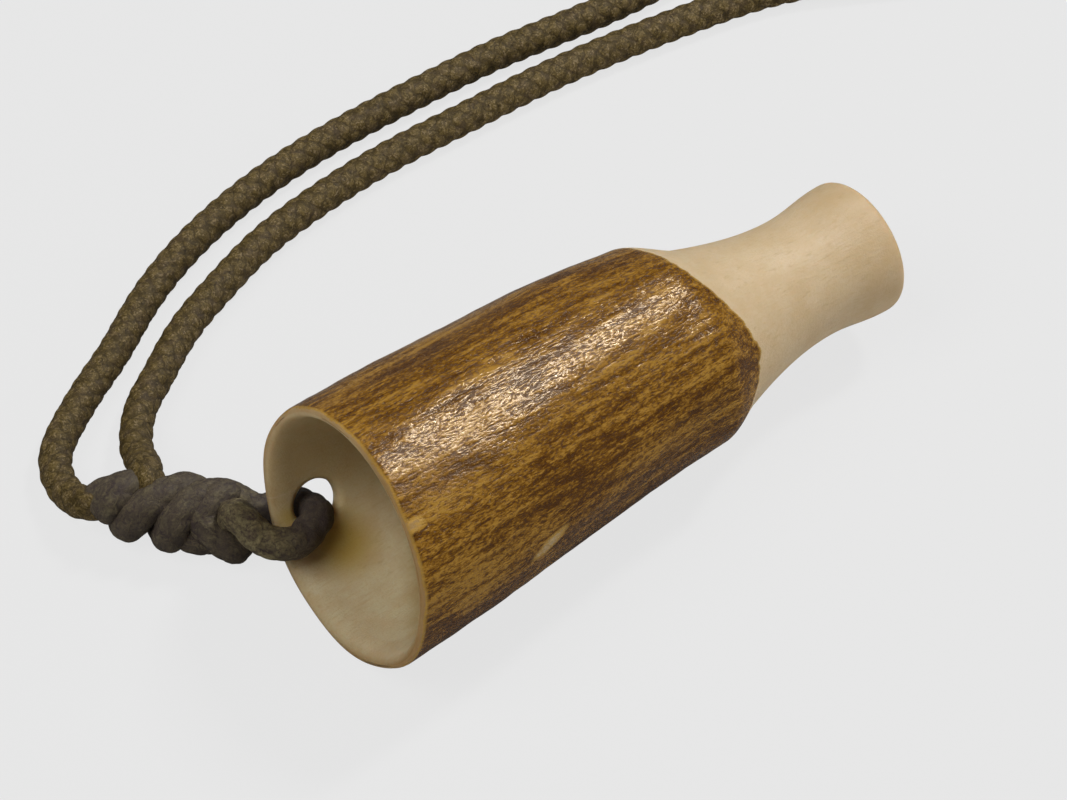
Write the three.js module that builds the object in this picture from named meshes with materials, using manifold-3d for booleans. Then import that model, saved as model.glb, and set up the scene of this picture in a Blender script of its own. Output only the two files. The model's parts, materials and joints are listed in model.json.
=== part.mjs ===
// Rabbit distress call: a piece of antler turned into a bell and a mouthpiece, with a brass reed
// voice pushed into the mouthpiece, and a braided neck cord tied through the bell wall.
// Millimetres, +Z up. The call lies on its barrel with +X running from the bell to the mouthpiece.
// The origin is on the floor, under the middle of the call.

import * as THREE from 'three';
import { mergeVertices } from 'three/addons/utils/BufferGeometryUtils.js';
import Module from 'manifold-3d';

// Antler body, outside, from the bell rim towards the mouthpiece
const BELL_RADIUS = 12.5;
const BARREL_LENGTH = 37;
const BARREL_SWELL = 0.2;
const SHOULDER_RADIUS = 10.45;
const SHOULDER_LENGTH = 5;
const BARK_END_RADIUS = 8.25;
const NECK_LENGTH = 11.5;
const WAIST_RADIUS = 6.3;
const LIP_LENGTH = 7.7;
const LIP_RADIUS = 6.85;
const LIP_ROUND = 1;

// Natural shape of the antler under the bark: bow of the barrel, shallow ridges, cut of the bell end
const BOW_HEIGHT = 0.65;
const BOW_ANGLE = 34;
const RIDGE_HEIGHT = 0.09;
const RIDGE_COUNT = 7;
const RIDGE_TWIST = 0.03;
const CUT_TILT = 6.5;
const CUT_ANGLE = 63;
const CUT_DEPTH = 15;

// Bell hollow, throat and reed chamber
const RIM_WALL = 1.35;
const RIM_ROUND = 0.45;
const THROAT_RADIUS = 2.4;
const THROAT_LENGTH = 4;
const CHAMBER_RADIUS = 3.6;
const CHAMBER_DEPTH = 26.1;
const MOUTH_ROUND = 0.6;
// Handles of the hollow's curve, as shares of its depth and of the rim's inner radius
const HOLLOW_BELLY = [0.45, 0.93];
const HOLLOW_TAPER = [0.77, 0.45];

// Cord hole in the bell wall, drilled towards the axis
const HOLE_RADIUS = 2.1;
const HOLE_SETBACK = 4.1;
const HOLE_ANGLE = -34;

// Reed voice
const FIT = 0.12;
const SEAT_GAP = 0.3;
const BUSH_LENGTH = 8;
const TIP_RECESS = 4;
const BINDING_LENGTH = 1.6;
const BINDING_WALL = 0.6;
const BINDING_CLEARANCE = 0.6;
const SHALLOT_WALL = 0.45;
const SHALLOT_TIP_WALL = 1;
const FLAT_HEIGHT = 0.55;
const SLOT_WIDTH = 1.5;
const SLOT_SETBACK = 1;
const TONGUE_WIDTH = 3;
const TONGUE_THICKNESS = 0.25;
const TONGUE_TIP_SETBACK = 0.4;
const TONGUE_LIFT = 2.3;

// Neck cord, its eye round the bell wall and its knot
const CORD_DIAMETER = 3;
const CORD_GAP = 0.3;
const EYE_SPREAD = 1.7;
const EYE_TAIL = 1.9;
const FLOOR_GAP = 0.1;
const KNOT_LENGTH = 13;
const KNOT_RADIUS = 3.2;
const KNOT_END_ROUND = 1.2;
const KNOT_WRAPS = 3;
const KNOT_WRAP_HEIGHT = 0.3;
const KNOT_HEADING = 123;
const KNOT_ENTRY = 2.4;

// Put-away length of the cord: a coil of two layers and its tie
const COIL_X = 112;
const COIL_Y = 43;
const COIL_RADIUS = 20.5;
const COIL_PITCH = 3.5;
const COIL_TURNS = 5;
const COIL_START = -125;
const COIL_END = 150;
const TIE_THICKNESS = 0.6;
const TIE_WIDTH = 4;
const TIE_CLEARANCE = 0.4;
const TIE_ANGLE = 20;

// Facet counts
const BODY_SIDES = 48;
const CURVE_STEPS = 6;
const SMALL_SIDES = 24;
const CORD_SIDES = 8;
const COIL_SIDES = 6;
const COIL_STEPS = 24;
const KNOT_RINGS = 26;
const KNOT_SIDES = 16;

const BARK_END = BARREL_LENGTH + SHOULDER_LENGTH;
const WAIST = BARK_END + NECK_LENGTH;
const LENGTH = WAIST + LIP_LENGTH;
const SEAT = LENGTH - CHAMBER_DEPTH;
const CORD_RADIUS = CORD_DIAMETER / 2;
const radians = THREE.MathUtils.degToRad;

const wasm = await Module();
wasm.setup();

// Closed solid for joining and cutting, from a geometry whose shared corners are merged
function solid(geometry) {
  const bare = geometry.clone();
  bare.deleteAttribute('normal');
  bare.deleteAttribute('uv');
  const merged = mergeVertices(bare, 1e-4);
  return new wasm.Manifold(new wasm.Mesh({
    numProp: 3,
    vertProperties: new Float32Array(merged.attributes.position.array),
    triVerts: new Uint32Array(merged.index.array),
  }));
}

function geometryOf(body) {
  const mesh = body.getMesh();
  const geometry = new THREE.BufferGeometry();
  geometry.setAttribute('position', new THREE.BufferAttribute(mesh.vertProperties, 3));
  geometry.setIndex(new THREE.BufferAttribute(mesh.triVerts, 1));
  geometry.computeVertexNormals();
  return geometry;
}

function piece(name, geometry, material) {
  const mesh = new THREE.Mesh(geometry, material);
  mesh.name = name;
  return mesh;
}

// Turned form: a profile of (place along X, radius) spun about the X axis
function turned(profile, sides) {
  const points = profile.getPoints(CURVE_STEPS).map((p) => new THREE.Vector2(p.y, p.x));
  return new THREE.LatheGeometry(points, sides).rotateZ(-Math.PI / 2);
}

// Section drawn in (y, z) and extruded along +X from a starting place
function barAlongX(section, start, length) {
  const geometry = new THREE.ExtrudeGeometry(section, {
    depth: length, bevelEnabled: false, curveSegments: SMALL_SIDES,
  });
  const turn = new THREE.Matrix4().makeBasis(
    new THREE.Vector3(0, 1, 0), new THREE.Vector3(0, 0, 1), new THREE.Vector3(1, 0, 0));
  return geometry.applyMatrix4(turn).translate(start, 0, 0);
}

// Round section with a flat top at a height above its centre
function flatTopped(radius, flat, Outline = THREE.Shape) {
  const corner = Math.asin(flat / radius);
  const outline = new Outline();
  outline.absarc(0, 0, radius, Math.PI - corner, 2 * Math.PI + corner, false);
  outline.closePath();
  return outline;
}

function moveVertices(geometry, move) {
  const place = geometry.attributes.position;
  const point = new THREE.Vector3();
  for (let i = 0; i < place.count; i += 1) {
    point.fromBufferAttribute(place, i);
    move(point);
    place.setXYZ(i, point.x, point.y, point.z);
  }
  return geometry;
}

// The bell end is sawn a little askew: a shear along X that fades out up the barrel
function skewBellEnd(point) {
  const fade = Math.max(0, 1 - Math.max(0, point.x) / CUT_DEPTH) ** 2;
  const slope = Math.tan(radians(CUT_TILT));
  const across = point.y * Math.cos(radians(CUT_ANGLE)) + point.z * Math.sin(radians(CUT_ANGLE));
  point.x += slope * across * fade;
}

// Under the bark the antler is bowed and shallowly ridged; both end where the turned neck begins
function growBark(point) {
  const along = THREE.MathUtils.clamp(point.x / BARK_END, 0, 1);
  const bark = 1 - THREE.MathUtils.smoothstep(point.x, BARREL_LENGTH, BARK_END);
  const angle = Math.atan2(point.z, point.y);
  const radius = Math.hypot(point.y, point.z);
  const wave = Math.cos(RIDGE_COUNT * (angle + RIDGE_TWIST * point.x)) + Math.cos(2 * angle + 1);
  const grown = radius > THROAT_RADIUS ? 1 + (bark * RIDGE_HEIGHT * wave) / radius : 1;
  const bow = BOW_HEIGHT * Math.sin(Math.PI * along);
  point.y = point.y * grown + bow * Math.cos(radians(BOW_ANGLE));
  point.z = point.z * grown + bow * Math.sin(radians(BOW_ANGLE));
}

function antlerBlank() {
  const profile = new THREE.Path();
  const middle = (BELL_RADIUS + SHOULDER_RADIUS) / 2 + 2 * BARREL_SWELL;
  const lipStart = LENGTH - LIP_ROUND;
  profile.moveTo(0, 0);
  profile.lineTo(0, BELL_RADIUS - RIM_ROUND);
  profile.quadraticCurveTo(0, BELL_RADIUS, RIM_ROUND, BELL_RADIUS);
  profile.quadraticCurveTo(BARREL_LENGTH / 2, middle, BARREL_LENGTH, SHOULDER_RADIUS);
  profile.bezierCurveTo(
    BARREL_LENGTH + SHOULDER_LENGTH / 3, SHOULDER_RADIUS,
    BARK_END - SHOULDER_LENGTH / 3, BARK_END_RADIUS + SHOULDER_LENGTH / 5,
    BARK_END, BARK_END_RADIUS);
  profile.bezierCurveTo(
    BARK_END + NECK_LENGTH / 3, (BARK_END_RADIUS + WAIST_RADIUS) / 2 - LIP_ROUND / 4,
    WAIST - NECK_LENGTH / 3, WAIST_RADIUS, WAIST, WAIST_RADIUS);
  profile.bezierCurveTo(
    WAIST + LIP_LENGTH / 3, WAIST_RADIUS, lipStart - LIP_LENGTH / 3, LIP_RADIUS,
    lipStart, LIP_RADIUS);
  profile.quadraticCurveTo(LENGTH, LIP_RADIUS, LENGTH, LIP_RADIUS - LIP_ROUND);
  profile.lineTo(LENGTH, 0);
  return moveVertices(turned(profile, BODY_SIDES), (point) => {
    growBark(point);
    skewBellEnd(point);
  });
}

// What the turning tools take out: the bell hollow, the throat and the reed chamber
function hollow() {
  const profile = new THREE.Path();
  const rim = BELL_RADIUS - RIM_WALL;
  const throatStart = SEAT - THROAT_LENGTH;
  const over = 2 * RIM_WALL;
  profile.moveTo(-over, 0);
  profile.lineTo(-over, rim + RIM_ROUND);
  profile.lineTo(0, rim + RIM_ROUND);
  profile.quadraticCurveTo(0, rim, RIM_ROUND, rim);
  profile.bezierCurveTo(
    throatStart * HOLLOW_BELLY[0], rim * HOLLOW_BELLY[1],
    throatStart * HOLLOW_TAPER[0], rim * HOLLOW_TAPER[1], throatStart, THROAT_RADIUS);
  profile.lineTo(SEAT, THROAT_RADIUS);
  profile.lineTo(SEAT, CHAMBER_RADIUS);
  profile.lineTo(LENGTH - MOUTH_ROUND, CHAMBER_RADIUS);
  profile.quadraticCurveTo(LENGTH, CHAMBER_RADIUS, LENGTH, CHAMBER_RADIUS + MOUTH_ROUND);
  profile.lineTo(LENGTH + over, CHAMBER_RADIUS + MOUTH_ROUND);
  profile.lineTo(LENGTH + over, 0);
  return moveVertices(turned(profile, BODY_SIDES), skewBellEnd);
}

// A place given by its distance along the axis, out from the axis through the cord hole, and round
function byHole(along, out, round) {
  const c = Math.cos(radians(HOLE_ANGLE));
  const s = Math.sin(radians(HOLE_ANGLE));
  return new THREE.Vector3(along, out * c - round * s, out * s + round * c);
}

function cordHole() {
  const drill = new THREE.CylinderGeometry(HOLE_RADIUS, HOLE_RADIUS, BELL_RADIUS, SMALL_SIDES);
  drill.rotateX(radians(HOLE_ANGLE));
  const centre = byHole(HOLE_SETBACK, BELL_RADIUS, 0);
  return drill.translate(centre.x, centre.y, centre.z);
}

function antlerBody() {
  return geometryOf(solid(antlerBlank()).subtract(solid(hollow())).subtract(solid(cordHole())));
}

// Reed voice, set in the chamber from the mouthpiece end
const BUSH_START = SEAT + SEAT_GAP;
const BUSH_END = BUSH_START + BUSH_LENGTH;
const BINDING_START = BUSH_END + SEAT_GAP;
const BINDING_END = BINDING_START + BINDING_LENGTH;
const SHALLOT_END = LENGTH - TIP_RECESS;
const BINDING_RADIUS = CHAMBER_RADIUS - BINDING_CLEARANCE;
const SHALLOT_RADIUS = BINDING_RADIUS - BINDING_WALL - FIT;
const TONGUE_TOP = FLAT_HEIGHT + FIT + TONGUE_THICKNESS;

function reedBush() {
  const section = new THREE.Shape();
  section.absarc(0, 0, CHAMBER_RADIUS - FIT, 0, 2 * Math.PI, false);
  section.holes.push(flatTopped(SHALLOT_RADIUS + FIT, FLAT_HEIGHT + FIT, THREE.Path));
  return barAlongX(section, BUSH_START, BUSH_LENGTH);
}

// Half-round tube, open at the stem, closed at the tip, with a slot in its flat face
function reedShallot() {
  const length = SHALLOT_END - BUSH_START;
  const channel = flatTopped(SHALLOT_RADIUS - SHALLOT_WALL, FLAT_HEIGHT - SHALLOT_WALL);
  const slotStart = BINDING_END + SLOT_SETBACK;
  const slotLength = SHALLOT_END - SHALLOT_TIP_WALL - SHALLOT_WALL - slotStart;
  const slot = new THREE.BoxGeometry(slotLength, SLOT_WIDTH, 3 * SHALLOT_WALL);
  slot.translate(slotStart + slotLength / 2, 0, FLAT_HEIGHT);
  const stem = solid(barAlongX(flatTopped(SHALLOT_RADIUS, FLAT_HEIGHT), BUSH_START, length));
  const bore = solid(barAlongX(channel, BUSH_START - SEAT_GAP, length + SEAT_GAP - SHALLOT_TIP_WALL));
  return geometryOf(stem.subtract(bore).subtract(solid(slot)));
}

function reedBinding() {
  const section = flatTopped(BINDING_RADIUS, TONGUE_TOP + FIT + BINDING_WALL);
  section.holes.push(flatTopped(SHALLOT_RADIUS + FIT, TONGUE_TOP + FIT, THREE.Path));
  return barAlongX(section, BINDING_START, BINDING_LENGTH);
}

// Thin strip: flat under the binding, then lifted off the slotted face at a small angle.
// The hinge line of its bend is at the middle of its thickness, where the binding ends.
function reedTongue() {
  const free = SHALLOT_END - TONGUE_TIP_SETBACK - BINDING_END;
  const rise = free * Math.tan(radians(TONGUE_LIFT));
  const bottom = TONGUE_TOP - TONGUE_THICKNESS;
  const side = new THREE.Shape();
  side.moveTo(BINDING_START, bottom);
  side.lineTo(BINDING_END, bottom);
  side.lineTo(BINDING_END + free, bottom + rise);
  side.lineTo(BINDING_END + free, TONGUE_TOP + rise);
  side.lineTo(BINDING_END, TONGUE_TOP);
  side.lineTo(BINDING_START, TONGUE_TOP);
  side.closePath();
  const strip = new THREE.ExtrudeGeometry(side, { depth: TONGUE_WIDTH, bevelEnabled: false });
  return strip.rotateX(Math.PI / 2).translate(0, TONGUE_WIDTH / 2, 0);
}

// Round cord along a smooth curve through the given points
function cordAlong(points, steps) {
  const section = new THREE.Shape();
  for (let i = 0; i < CORD_SIDES; i += 1) {
    const angle = (2 * Math.PI * i) / CORD_SIDES;
    const x = CORD_RADIUS * Math.cos(angle);
    const y = CORD_RADIUS * Math.sin(angle);
    if (i === 0) section.moveTo(x, y);
    else section.lineTo(x, y);
  }
  section.closePath();
  const path = new THREE.CatmullRomCurve3(points, false, 'centripetal');
  return new THREE.ExtrudeGeometry(section, { steps, extrudePath: path, bevelEnabled: false });
}

// Closed skin over rings of points, each ring with the same count, capped at both ends
function skin(rings) {
  const sides = rings[0].length;
  const middle = (ring) => ring.reduce((sum, p) => sum.add(p), new THREE.Vector3()).divideScalar(sides);
  const corners = [...rings.flat(), middle(rings[0]), middle(rings.at(-1))];
  const first = rings.length * sides;
  const faces = [];
  for (let i = 0; i < sides; i += 1) {
    const j = (i + 1) % sides;
    for (let k = 0; k + 1 < rings.length; k += 1) {
      const a = k * sides;
      const b = a + sides;
      faces.push(a + i, a + j, b + j, a + i, b + j, b + i);
    }
    const last = first - sides;
    faces.push(first, j, i, first + 1, last + i, last + j);
  }
  const geometry = new THREE.BufferGeometry();
  geometry.setAttribute('position', new THREE.Float32BufferAttribute(corners.flatMap((p) => p.toArray()), 3));
  geometry.setIndex(faces);
  geometry.computeVertexNormals();
  return geometry;
}

// Knot: a barrel along +X whose surface shows the cord's slanting wraps
function cordKnot() {
  const rings = [];
  for (let k = 0; k <= KNOT_RINGS; k += 1) {
    const along = (KNOT_LENGTH * k) / KNOT_RINGS;
    const toEnd = Math.min(along, KNOT_LENGTH - along, KNOT_END_ROUND);
    const drop = KNOT_END_ROUND - Math.sqrt(KNOT_END_ROUND ** 2 - (KNOT_END_ROUND - toEnd) ** 2);
    const ring = [];
    for (let i = 0; i < KNOT_SIDES; i += 1) {
      const angle = (2 * Math.PI * i) / KNOT_SIDES;
      const wrap = KNOT_WRAP_HEIGHT * Math.cos(angle - (2 * Math.PI * KNOT_WRAPS * along) / KNOT_LENGTH);
      const radius = KNOT_RADIUS - KNOT_WRAP_HEIGHT + wrap - drop;
      ring.push(new THREE.Vector3(along, radius * Math.cos(angle), radius * Math.sin(angle)));
    }
    rings.push(ring);
  }
  return skin(rings);
}

// Coil: one run of cord that spirals in, climbs a layer in the half turn where it reverses, and
// spirals out again. It starts and ends in a straight run of one cord diameter.
const COIL_LOW = TIE_THICKNESS + TIE_CLEARANCE + CORD_RADIUS;

function coilLine() {
  const sweep = radians(COIL_END - COIL_START) + 2 * Math.PI * COIL_TURNS;
  const steps = Math.round((sweep / (2 * Math.PI)) * COIL_STEPS);
  const line = [];
  for (let k = 0; k <= steps; k += 1) {
    const turn = (sweep * k) / steps;
    const angle = radians(COIL_START) + turn;
    const inward = Math.min(turn, sweep - turn) / (2 * Math.PI);
    const radius = COIL_RADIUS - COIL_PITCH * inward;
    const climb = THREE.MathUtils.smoothstep(turn, (sweep - Math.PI) / 2, (sweep + Math.PI) / 2);
    line.push(new THREE.Vector3(
      COIL_X + radius * Math.cos(angle), COIL_Y + radius * Math.sin(angle), COIL_LOW + COIL_PITCH * climb));
  }
  const runOut = (end, before) => end.clone().sub(before).setZ(0).setLength(CORD_DIAMETER).add(end);
  line.unshift(runOut(line[0], line[1]));
  line.push(runOut(line.at(-1), line.at(-2)));
  return line;
}

// Rings of a round cord on a line of points, kept upright because the line never stands on end
function cordRings(line, sides) {
  const up = new THREE.Vector3(0, 0, 1);
  return line.map((point, k) => {
    const ahead = line[Math.min(k + 1, line.length - 1)].clone().sub(line[Math.max(k - 1, 0)]).normalize();
    const side = new THREE.Vector3().crossVectors(up, ahead).normalize();
    const over = new THREE.Vector3().crossVectors(ahead, side);
    return Array.from({ length: sides }, (_, i) => {
      const angle = (2 * Math.PI * i) / sides;
      return point.clone()
        .addScaledVector(side, CORD_RADIUS * Math.cos(angle))
        .addScaledVector(over, CORD_RADIUS * Math.sin(angle));
    });
  });
}

// Least gap between stretches of one cord that lie half a turn or more apart
function leastGap(line) {
  let least = Infinity;
  for (let i = 0; i < line.length; i += 1) {
    for (let j = i + COIL_STEPS / 2; j < line.length; j += 1) {
      least = Math.min(least, line[i].distanceTo(line[j]));
    }
  }
  return least - CORD_DIAMETER;
}

// Flat band round the whole bundle of turns
function coilTie() {
  const inner = COIL_RADIUS - COIL_PITCH * ((COIL_END - COIL_START) / 720 + COIL_TURNS / 2);
  const low = inner - CORD_RADIUS - TIE_CLEARANCE - TIE_THICKNESS;
  const high = COIL_RADIUS + CORD_RADIUS + TIE_CLEARANCE + TIE_THICKNESS;
  const top = 2 * COIL_LOW + COIL_PITCH;
  const band = (inset, Outline) => {
    const outline = new Outline();
    outline.moveTo(low + inset, inset);
    outline.lineTo(high - inset, inset);
    outline.lineTo(high - inset, top - inset);
    outline.lineTo(low + inset, top - inset);
    outline.closePath();
    return outline;
  };
  const section = band(0, THREE.Shape);
  section.holes.push(band(TIE_THICKNESS, THREE.Path));
  const geometry = new THREE.ExtrudeGeometry(section, { depth: TIE_WIDTH, bevelEnabled: false });
  geometry.translate(0, 0, -TIE_WIDTH / 2).rotateX(Math.PI / 2).rotateZ(radians(TIE_ANGLE));
  return geometry.translate(COIL_X, COIL_Y, 0);
}

const antler = new THREE.MeshStandardMaterial({ color: 0x9a6a35, roughness: 0.4, metalness: 0 });
const cork = new THREE.MeshStandardMaterial({ color: 0xb98a5a, roughness: 0.9, metalness: 0 });
const brass = new THREE.MeshStandardMaterial({ color: 0xc9a24a, roughness: 0.3, metalness: 1 });
const thread = new THREE.MeshStandardMaterial({ color: 0x7a2f22, roughness: 0.8, metalness: 0 });
const braid = new THREE.MeshStandardMaterial({ color: 0x4a4330, roughness: 0.9, metalness: 0 });
const tieBand = new THREE.MeshStandardMaterial({ color: 0x2b2b29, roughness: 0.8, metalness: 0 });

// The call lies on its tapered barrel, so its axis leans by the taper
const call = new THREE.Group();
call.rotation.y = Math.atan((BELL_RADIUS - SHOULDER_RADIUS) / BARREL_LENGTH);
call.add(piece('antler_body', antlerBody(), antler));
call.add(piece('reed_bush', reedBush(), cork));
call.add(piece('reed_shallot', reedShallot(), brass));
call.add(piece('reed_binding', reedBinding(), thread));
call.add(piece('reed_tongue', reedTongue(), brass));
call.updateMatrixWorld(true);
const room = new THREE.Box3().setFromObject(call, true);
const centre = room.getCenter(new THREE.Vector3());
call.position.set(-centre.x, -centre.y, -room.min.z);
call.updateMatrixWorld(true);

// The cord is laid out from the point on the floor under the middle of the bell rim
const rimOnFloor = new THREE.Vector3().applyMatrix4(call.matrixWorld).setZ(0);
const neckCord = new THREE.Group();
neckCord.position.copy(rimOnFloor);
const laid = (along, out, round) => byHole(along, out, round).applyMatrix4(call.matrixWorld).sub(rimOnFloor);

// Eye: out of the knot, along the outside of the bell, in through the hole and back over the rim
const outside = BELL_RADIUS + CORD_RADIUS + CORD_GAP;
const inside = BELL_RADIUS - RIM_WALL - CORD_RADIUS - 2 * CORD_GAP;
const front = -CORD_RADIUS - CORD_GAP;
const wallMiddle = (outside + inside) / 2;
const eyePoints = [
  laid(front, outside + CORD_RADIUS / 2, EYE_SPREAD),
  laid(front + CORD_RADIUS, outside + CORD_GAP, EYE_SPREAD * 0.8),
  laid(HOLE_SETBACK - CORD_RADIUS, outside - CORD_GAP / 3, EYE_SPREAD * 0.3),
  laid(HOLE_SETBACK - CORD_GAP / 2, wallMiddle + CORD_RADIUS * 0.75, 0),
  laid(HOLE_SETBACK, wallMiddle, 0),
  laid(HOLE_SETBACK - CORD_GAP / 2, wallMiddle - CORD_RADIUS * 0.85, -EYE_SPREAD * 0.1),
  laid(HOLE_SETBACK - CORD_RADIUS, inside, -EYE_SPREAD * 0.4),
  laid(CORD_GAP, inside, -EYE_SPREAD * 0.8),
  laid(front, inside + CORD_RADIUS, -EYE_SPREAD),
  laid(front - CORD_GAP, wallMiddle + CORD_RADIUS / 2, -EYE_SPREAD),
];
const eye = cordAlong(eyePoints, 22);

// Knot: its inner end faces both ends of the eye, and it lies on the floor
const heading = new THREE.Vector3(Math.cos(radians(KNOT_HEADING)), Math.sin(radians(KNOT_HEADING)), 0);
const aside = new THREE.Vector3(heading.y, -heading.x, 0);
const eyeEnds = eyePoints[0].clone().add(eyePoints.at(-1)).divideScalar(2);
const knotStart = eyeEnds.clone().addScaledVector(heading, EYE_TAIL).setZ(KNOT_RADIUS + CORD_GAP);
const knotEnd = knotStart.clone().addScaledVector(heading, KNOT_LENGTH);
const knot = piece('cord_knot', cordKnot(), braid);
knot.position.copy(knotStart);
knot.rotation.z = radians(KNOT_HEADING);

const coil = coilLine();
console.log(`coil: least gap to itself ${leastGap(coil.slice(1, -1)).toFixed(2)} mm`);

const onFloor = (x, y) => new THREE.Vector3(x, y, CORD_RADIUS + FLOOR_GAP);
const nearEntry = knotEnd.clone()
  .addScaledVector(heading, -KNOT_ENTRY)
  .addScaledVector(aside, KNOT_RADIUS + CORD_GAP)
  .setZ(CORD_RADIUS + CORD_GAP);
const farEntry = knotEnd.clone().addScaledVector(heading, CORD_GAP).setZ(CORD_RADIUS + CORD_GAP);
const offCoil = (end, next, by) => end.clone().sub(next).setLength(by).add(end);
const above = (x, y, height) => onFloor(x, y).add(new THREE.Vector3(0, 0, height));
const nearStrand = [
  nearEntry,
  onFloor(-4, 27.6), onFloor(-0.8, 31.4), onFloor(5.8, 35.6), onFloor(13.7, 39), onFloor(26.2, 42),
  onFloor(36.4, 42.5), onFloor(45.9, 41.8), onFloor(55.1, 40.6), onFloor(64.2, 39.1), onFloor(73.3, 37.4),
  onFloor(82.7, 35.3), onFloor(91, 31.4),
  offCoil(coil[0], coil[1], CORD_DIAMETER),
  offCoil(coil[0], coil[1], CORD_GAP),
];
const farStrand = [
  farEntry,
  onFloor(-11.6, 26.2), onFloor(-12, 28.9), onFloor(-10.2, 31.8), onFloor(-6.8, 34.4), onFloor(-2.6, 36.8),
  onFloor(1.4, 38.8),
  onFloor(6.9, 42), onFloor(15, 45.4), onFloor(25.4, 47.6), onFloor(35.7, 48.1), onFloor(45.4, 47.6),
  onFloor(54.7, 46.6), onFloor(63.9, 45.1), onFloor(73.4, 44.2), above(81, 44.4, 0.9),
  above(87, 46, 2.6),
  offCoil(coil.at(-1), coil.at(-2), CORD_DIAMETER),
  offCoil(coil.at(-1), coil.at(-2), CORD_GAP),
];

neckCord.add(piece('cord_eye', eye, braid));
neckCord.add(knot);
neckCord.add(piece('cord_near_strand', cordAlong(nearStrand, 24), braid));
neckCord.add(piece('cord_far_strand', cordAlong(farStrand, 32), braid));
neckCord.add(piece('cord_coil', skin(cordRings(coil, COIL_SIDES)), braid));
neckCord.add(piece('coil_tie', coilTie(), tieBand));

const distressCall = new THREE.Group();
distressCall.add(call, neckCord);
export default distressCall;
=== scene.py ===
# %% [markdown]
# # A rabbit distress call
#
# The real call is a short length of antler. Its maker hollowed a bell into one end, turned a mouthpiece
# on the other, left the brown bark on the barrel between them, and pushed a small brass reed voice in
# from the mouthpiece. A braided neck cord is tied through a hole in the bell wall.
#
# The solids of the call are already made and measured, and this script loads them as a fixed frame. Then
# it dresses them: surfaces worked out with numpy go where the solids are, and finishes are made of
# shader nodes. The formulas work in millimetres, as the maker would, and Blender gets metres.

# %% Load the fixed frame
import json
import math

import bpy
import numpy as np
from mathutils import Matrix


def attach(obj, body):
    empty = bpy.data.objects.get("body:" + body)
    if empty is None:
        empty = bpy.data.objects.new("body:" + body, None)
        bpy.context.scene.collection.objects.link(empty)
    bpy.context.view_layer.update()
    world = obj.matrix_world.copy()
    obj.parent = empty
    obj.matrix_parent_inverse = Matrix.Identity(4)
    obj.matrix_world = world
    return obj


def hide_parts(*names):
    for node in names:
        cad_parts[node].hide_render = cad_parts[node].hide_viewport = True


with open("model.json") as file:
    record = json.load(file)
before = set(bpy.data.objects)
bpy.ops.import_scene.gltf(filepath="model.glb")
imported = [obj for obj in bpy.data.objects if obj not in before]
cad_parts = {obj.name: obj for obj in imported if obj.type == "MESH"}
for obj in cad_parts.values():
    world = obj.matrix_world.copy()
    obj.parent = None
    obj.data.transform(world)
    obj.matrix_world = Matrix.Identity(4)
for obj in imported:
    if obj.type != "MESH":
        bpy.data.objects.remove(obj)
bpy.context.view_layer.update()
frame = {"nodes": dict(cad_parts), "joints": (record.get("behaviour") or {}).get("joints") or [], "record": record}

# %% [markdown]
# ## Places on the call
#
# Everything on the call is easiest to give along its axis, to its side and above it. The frame tells
# where that axis is: the reed voice slides along it, and the mouthpiece mount sits on the flat ring at
# its end. So three directions and the middle of the bell rim are worked out once, and two helpers turn
# call places into frame places. The cord lies on the floor, so its places are counted from the floor
# under the bell rim.

# %% Axis, rim and helpers for places
MM = 0.001
CALL_LENGTH = 61.2
FACE_RING_RADIUS = 5.0
HOLE_ANGLE = math.radians(-34)

voice_slide = next(joint for joint in frame["joints"] if joint["name"] == "voice_pull")
axis_along = np.array(voice_slide["axis"], float)
axis_side = np.array([0.0, 1.0, 0.0])
axis_up = np.cross(axis_along, axis_side)
face_mount = np.array(frame["record"]["mounts"][0]["pos_m"], float)
rim_centre = face_mount - MM * (FACE_RING_RADIUS * axis_up + CALL_LENGTH * axis_along)
rim_on_floor = rim_centre * [1, 1, 0]
hole_out = math.cos(HOLE_ANGLE) * axis_side + math.sin(HOLE_ANGLE) * axis_up
hole_round = math.cos(HOLE_ANGLE) * axis_up - math.sin(HOLE_ANGLE) * axis_side


def in_call(along, side, above):
    """Frame points from call places: the rim's middle plus along, side and above times their directions."""
    steps = np.multiply.outer(along, axis_along)
    steps = steps + np.multiply.outer(side, axis_side) + np.multiply.outer(above, axis_up)
    return rim_centre + MM * steps


def by_hole(places):
    """Frame points from rows of (along the axis, out through the cord hole, round the call)."""
    places = np.array(places, float)
    return rim_centre + MM * (places @ np.array([axis_along, hole_out, hole_round]))


def by_floor(places):
    """Frame points from rows of (x, y, z) counted from the floor under the bell rim."""
    return rim_on_floor + MM * np.array(places, float)


print("bell rim at", np.round(rim_centre, 5), "axis", np.round(axis_along, 4))

# %% [markdown]
# ## Camera
#
# The camera stands at the photograph's viewpoint. A long lens and the distance were found by matching
# the ellipse of the bell rim and the outline of the neck. A lens shift could put the rim on its place in
# the picture, but other views keep a shift, so the camera itself is moved sideways instead.

# %% Camera at the photograph's viewing angle
PHOTO_WIDTH = 1067
PHOTO_HEIGHT = 800
SENSOR = 36.0
FOCAL_PIXELS = 4512
RIM_PIXEL = (344.68, 538.1)
RIM_DISTANCE = 0.4
NEAR_CLIP = 0.01
AZIMUTH = math.radians(-38.9)
ELEVATION = math.radians(49.92)


def standing(right, up, back, place):
    """Matrix of an object at a place, its own x, y and z axes pointing right, up and back."""
    columns = np.column_stack([right, up, back, place])
    return Matrix(np.vstack([columns, [0, 0, 0, 1]]).tolist())


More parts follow.
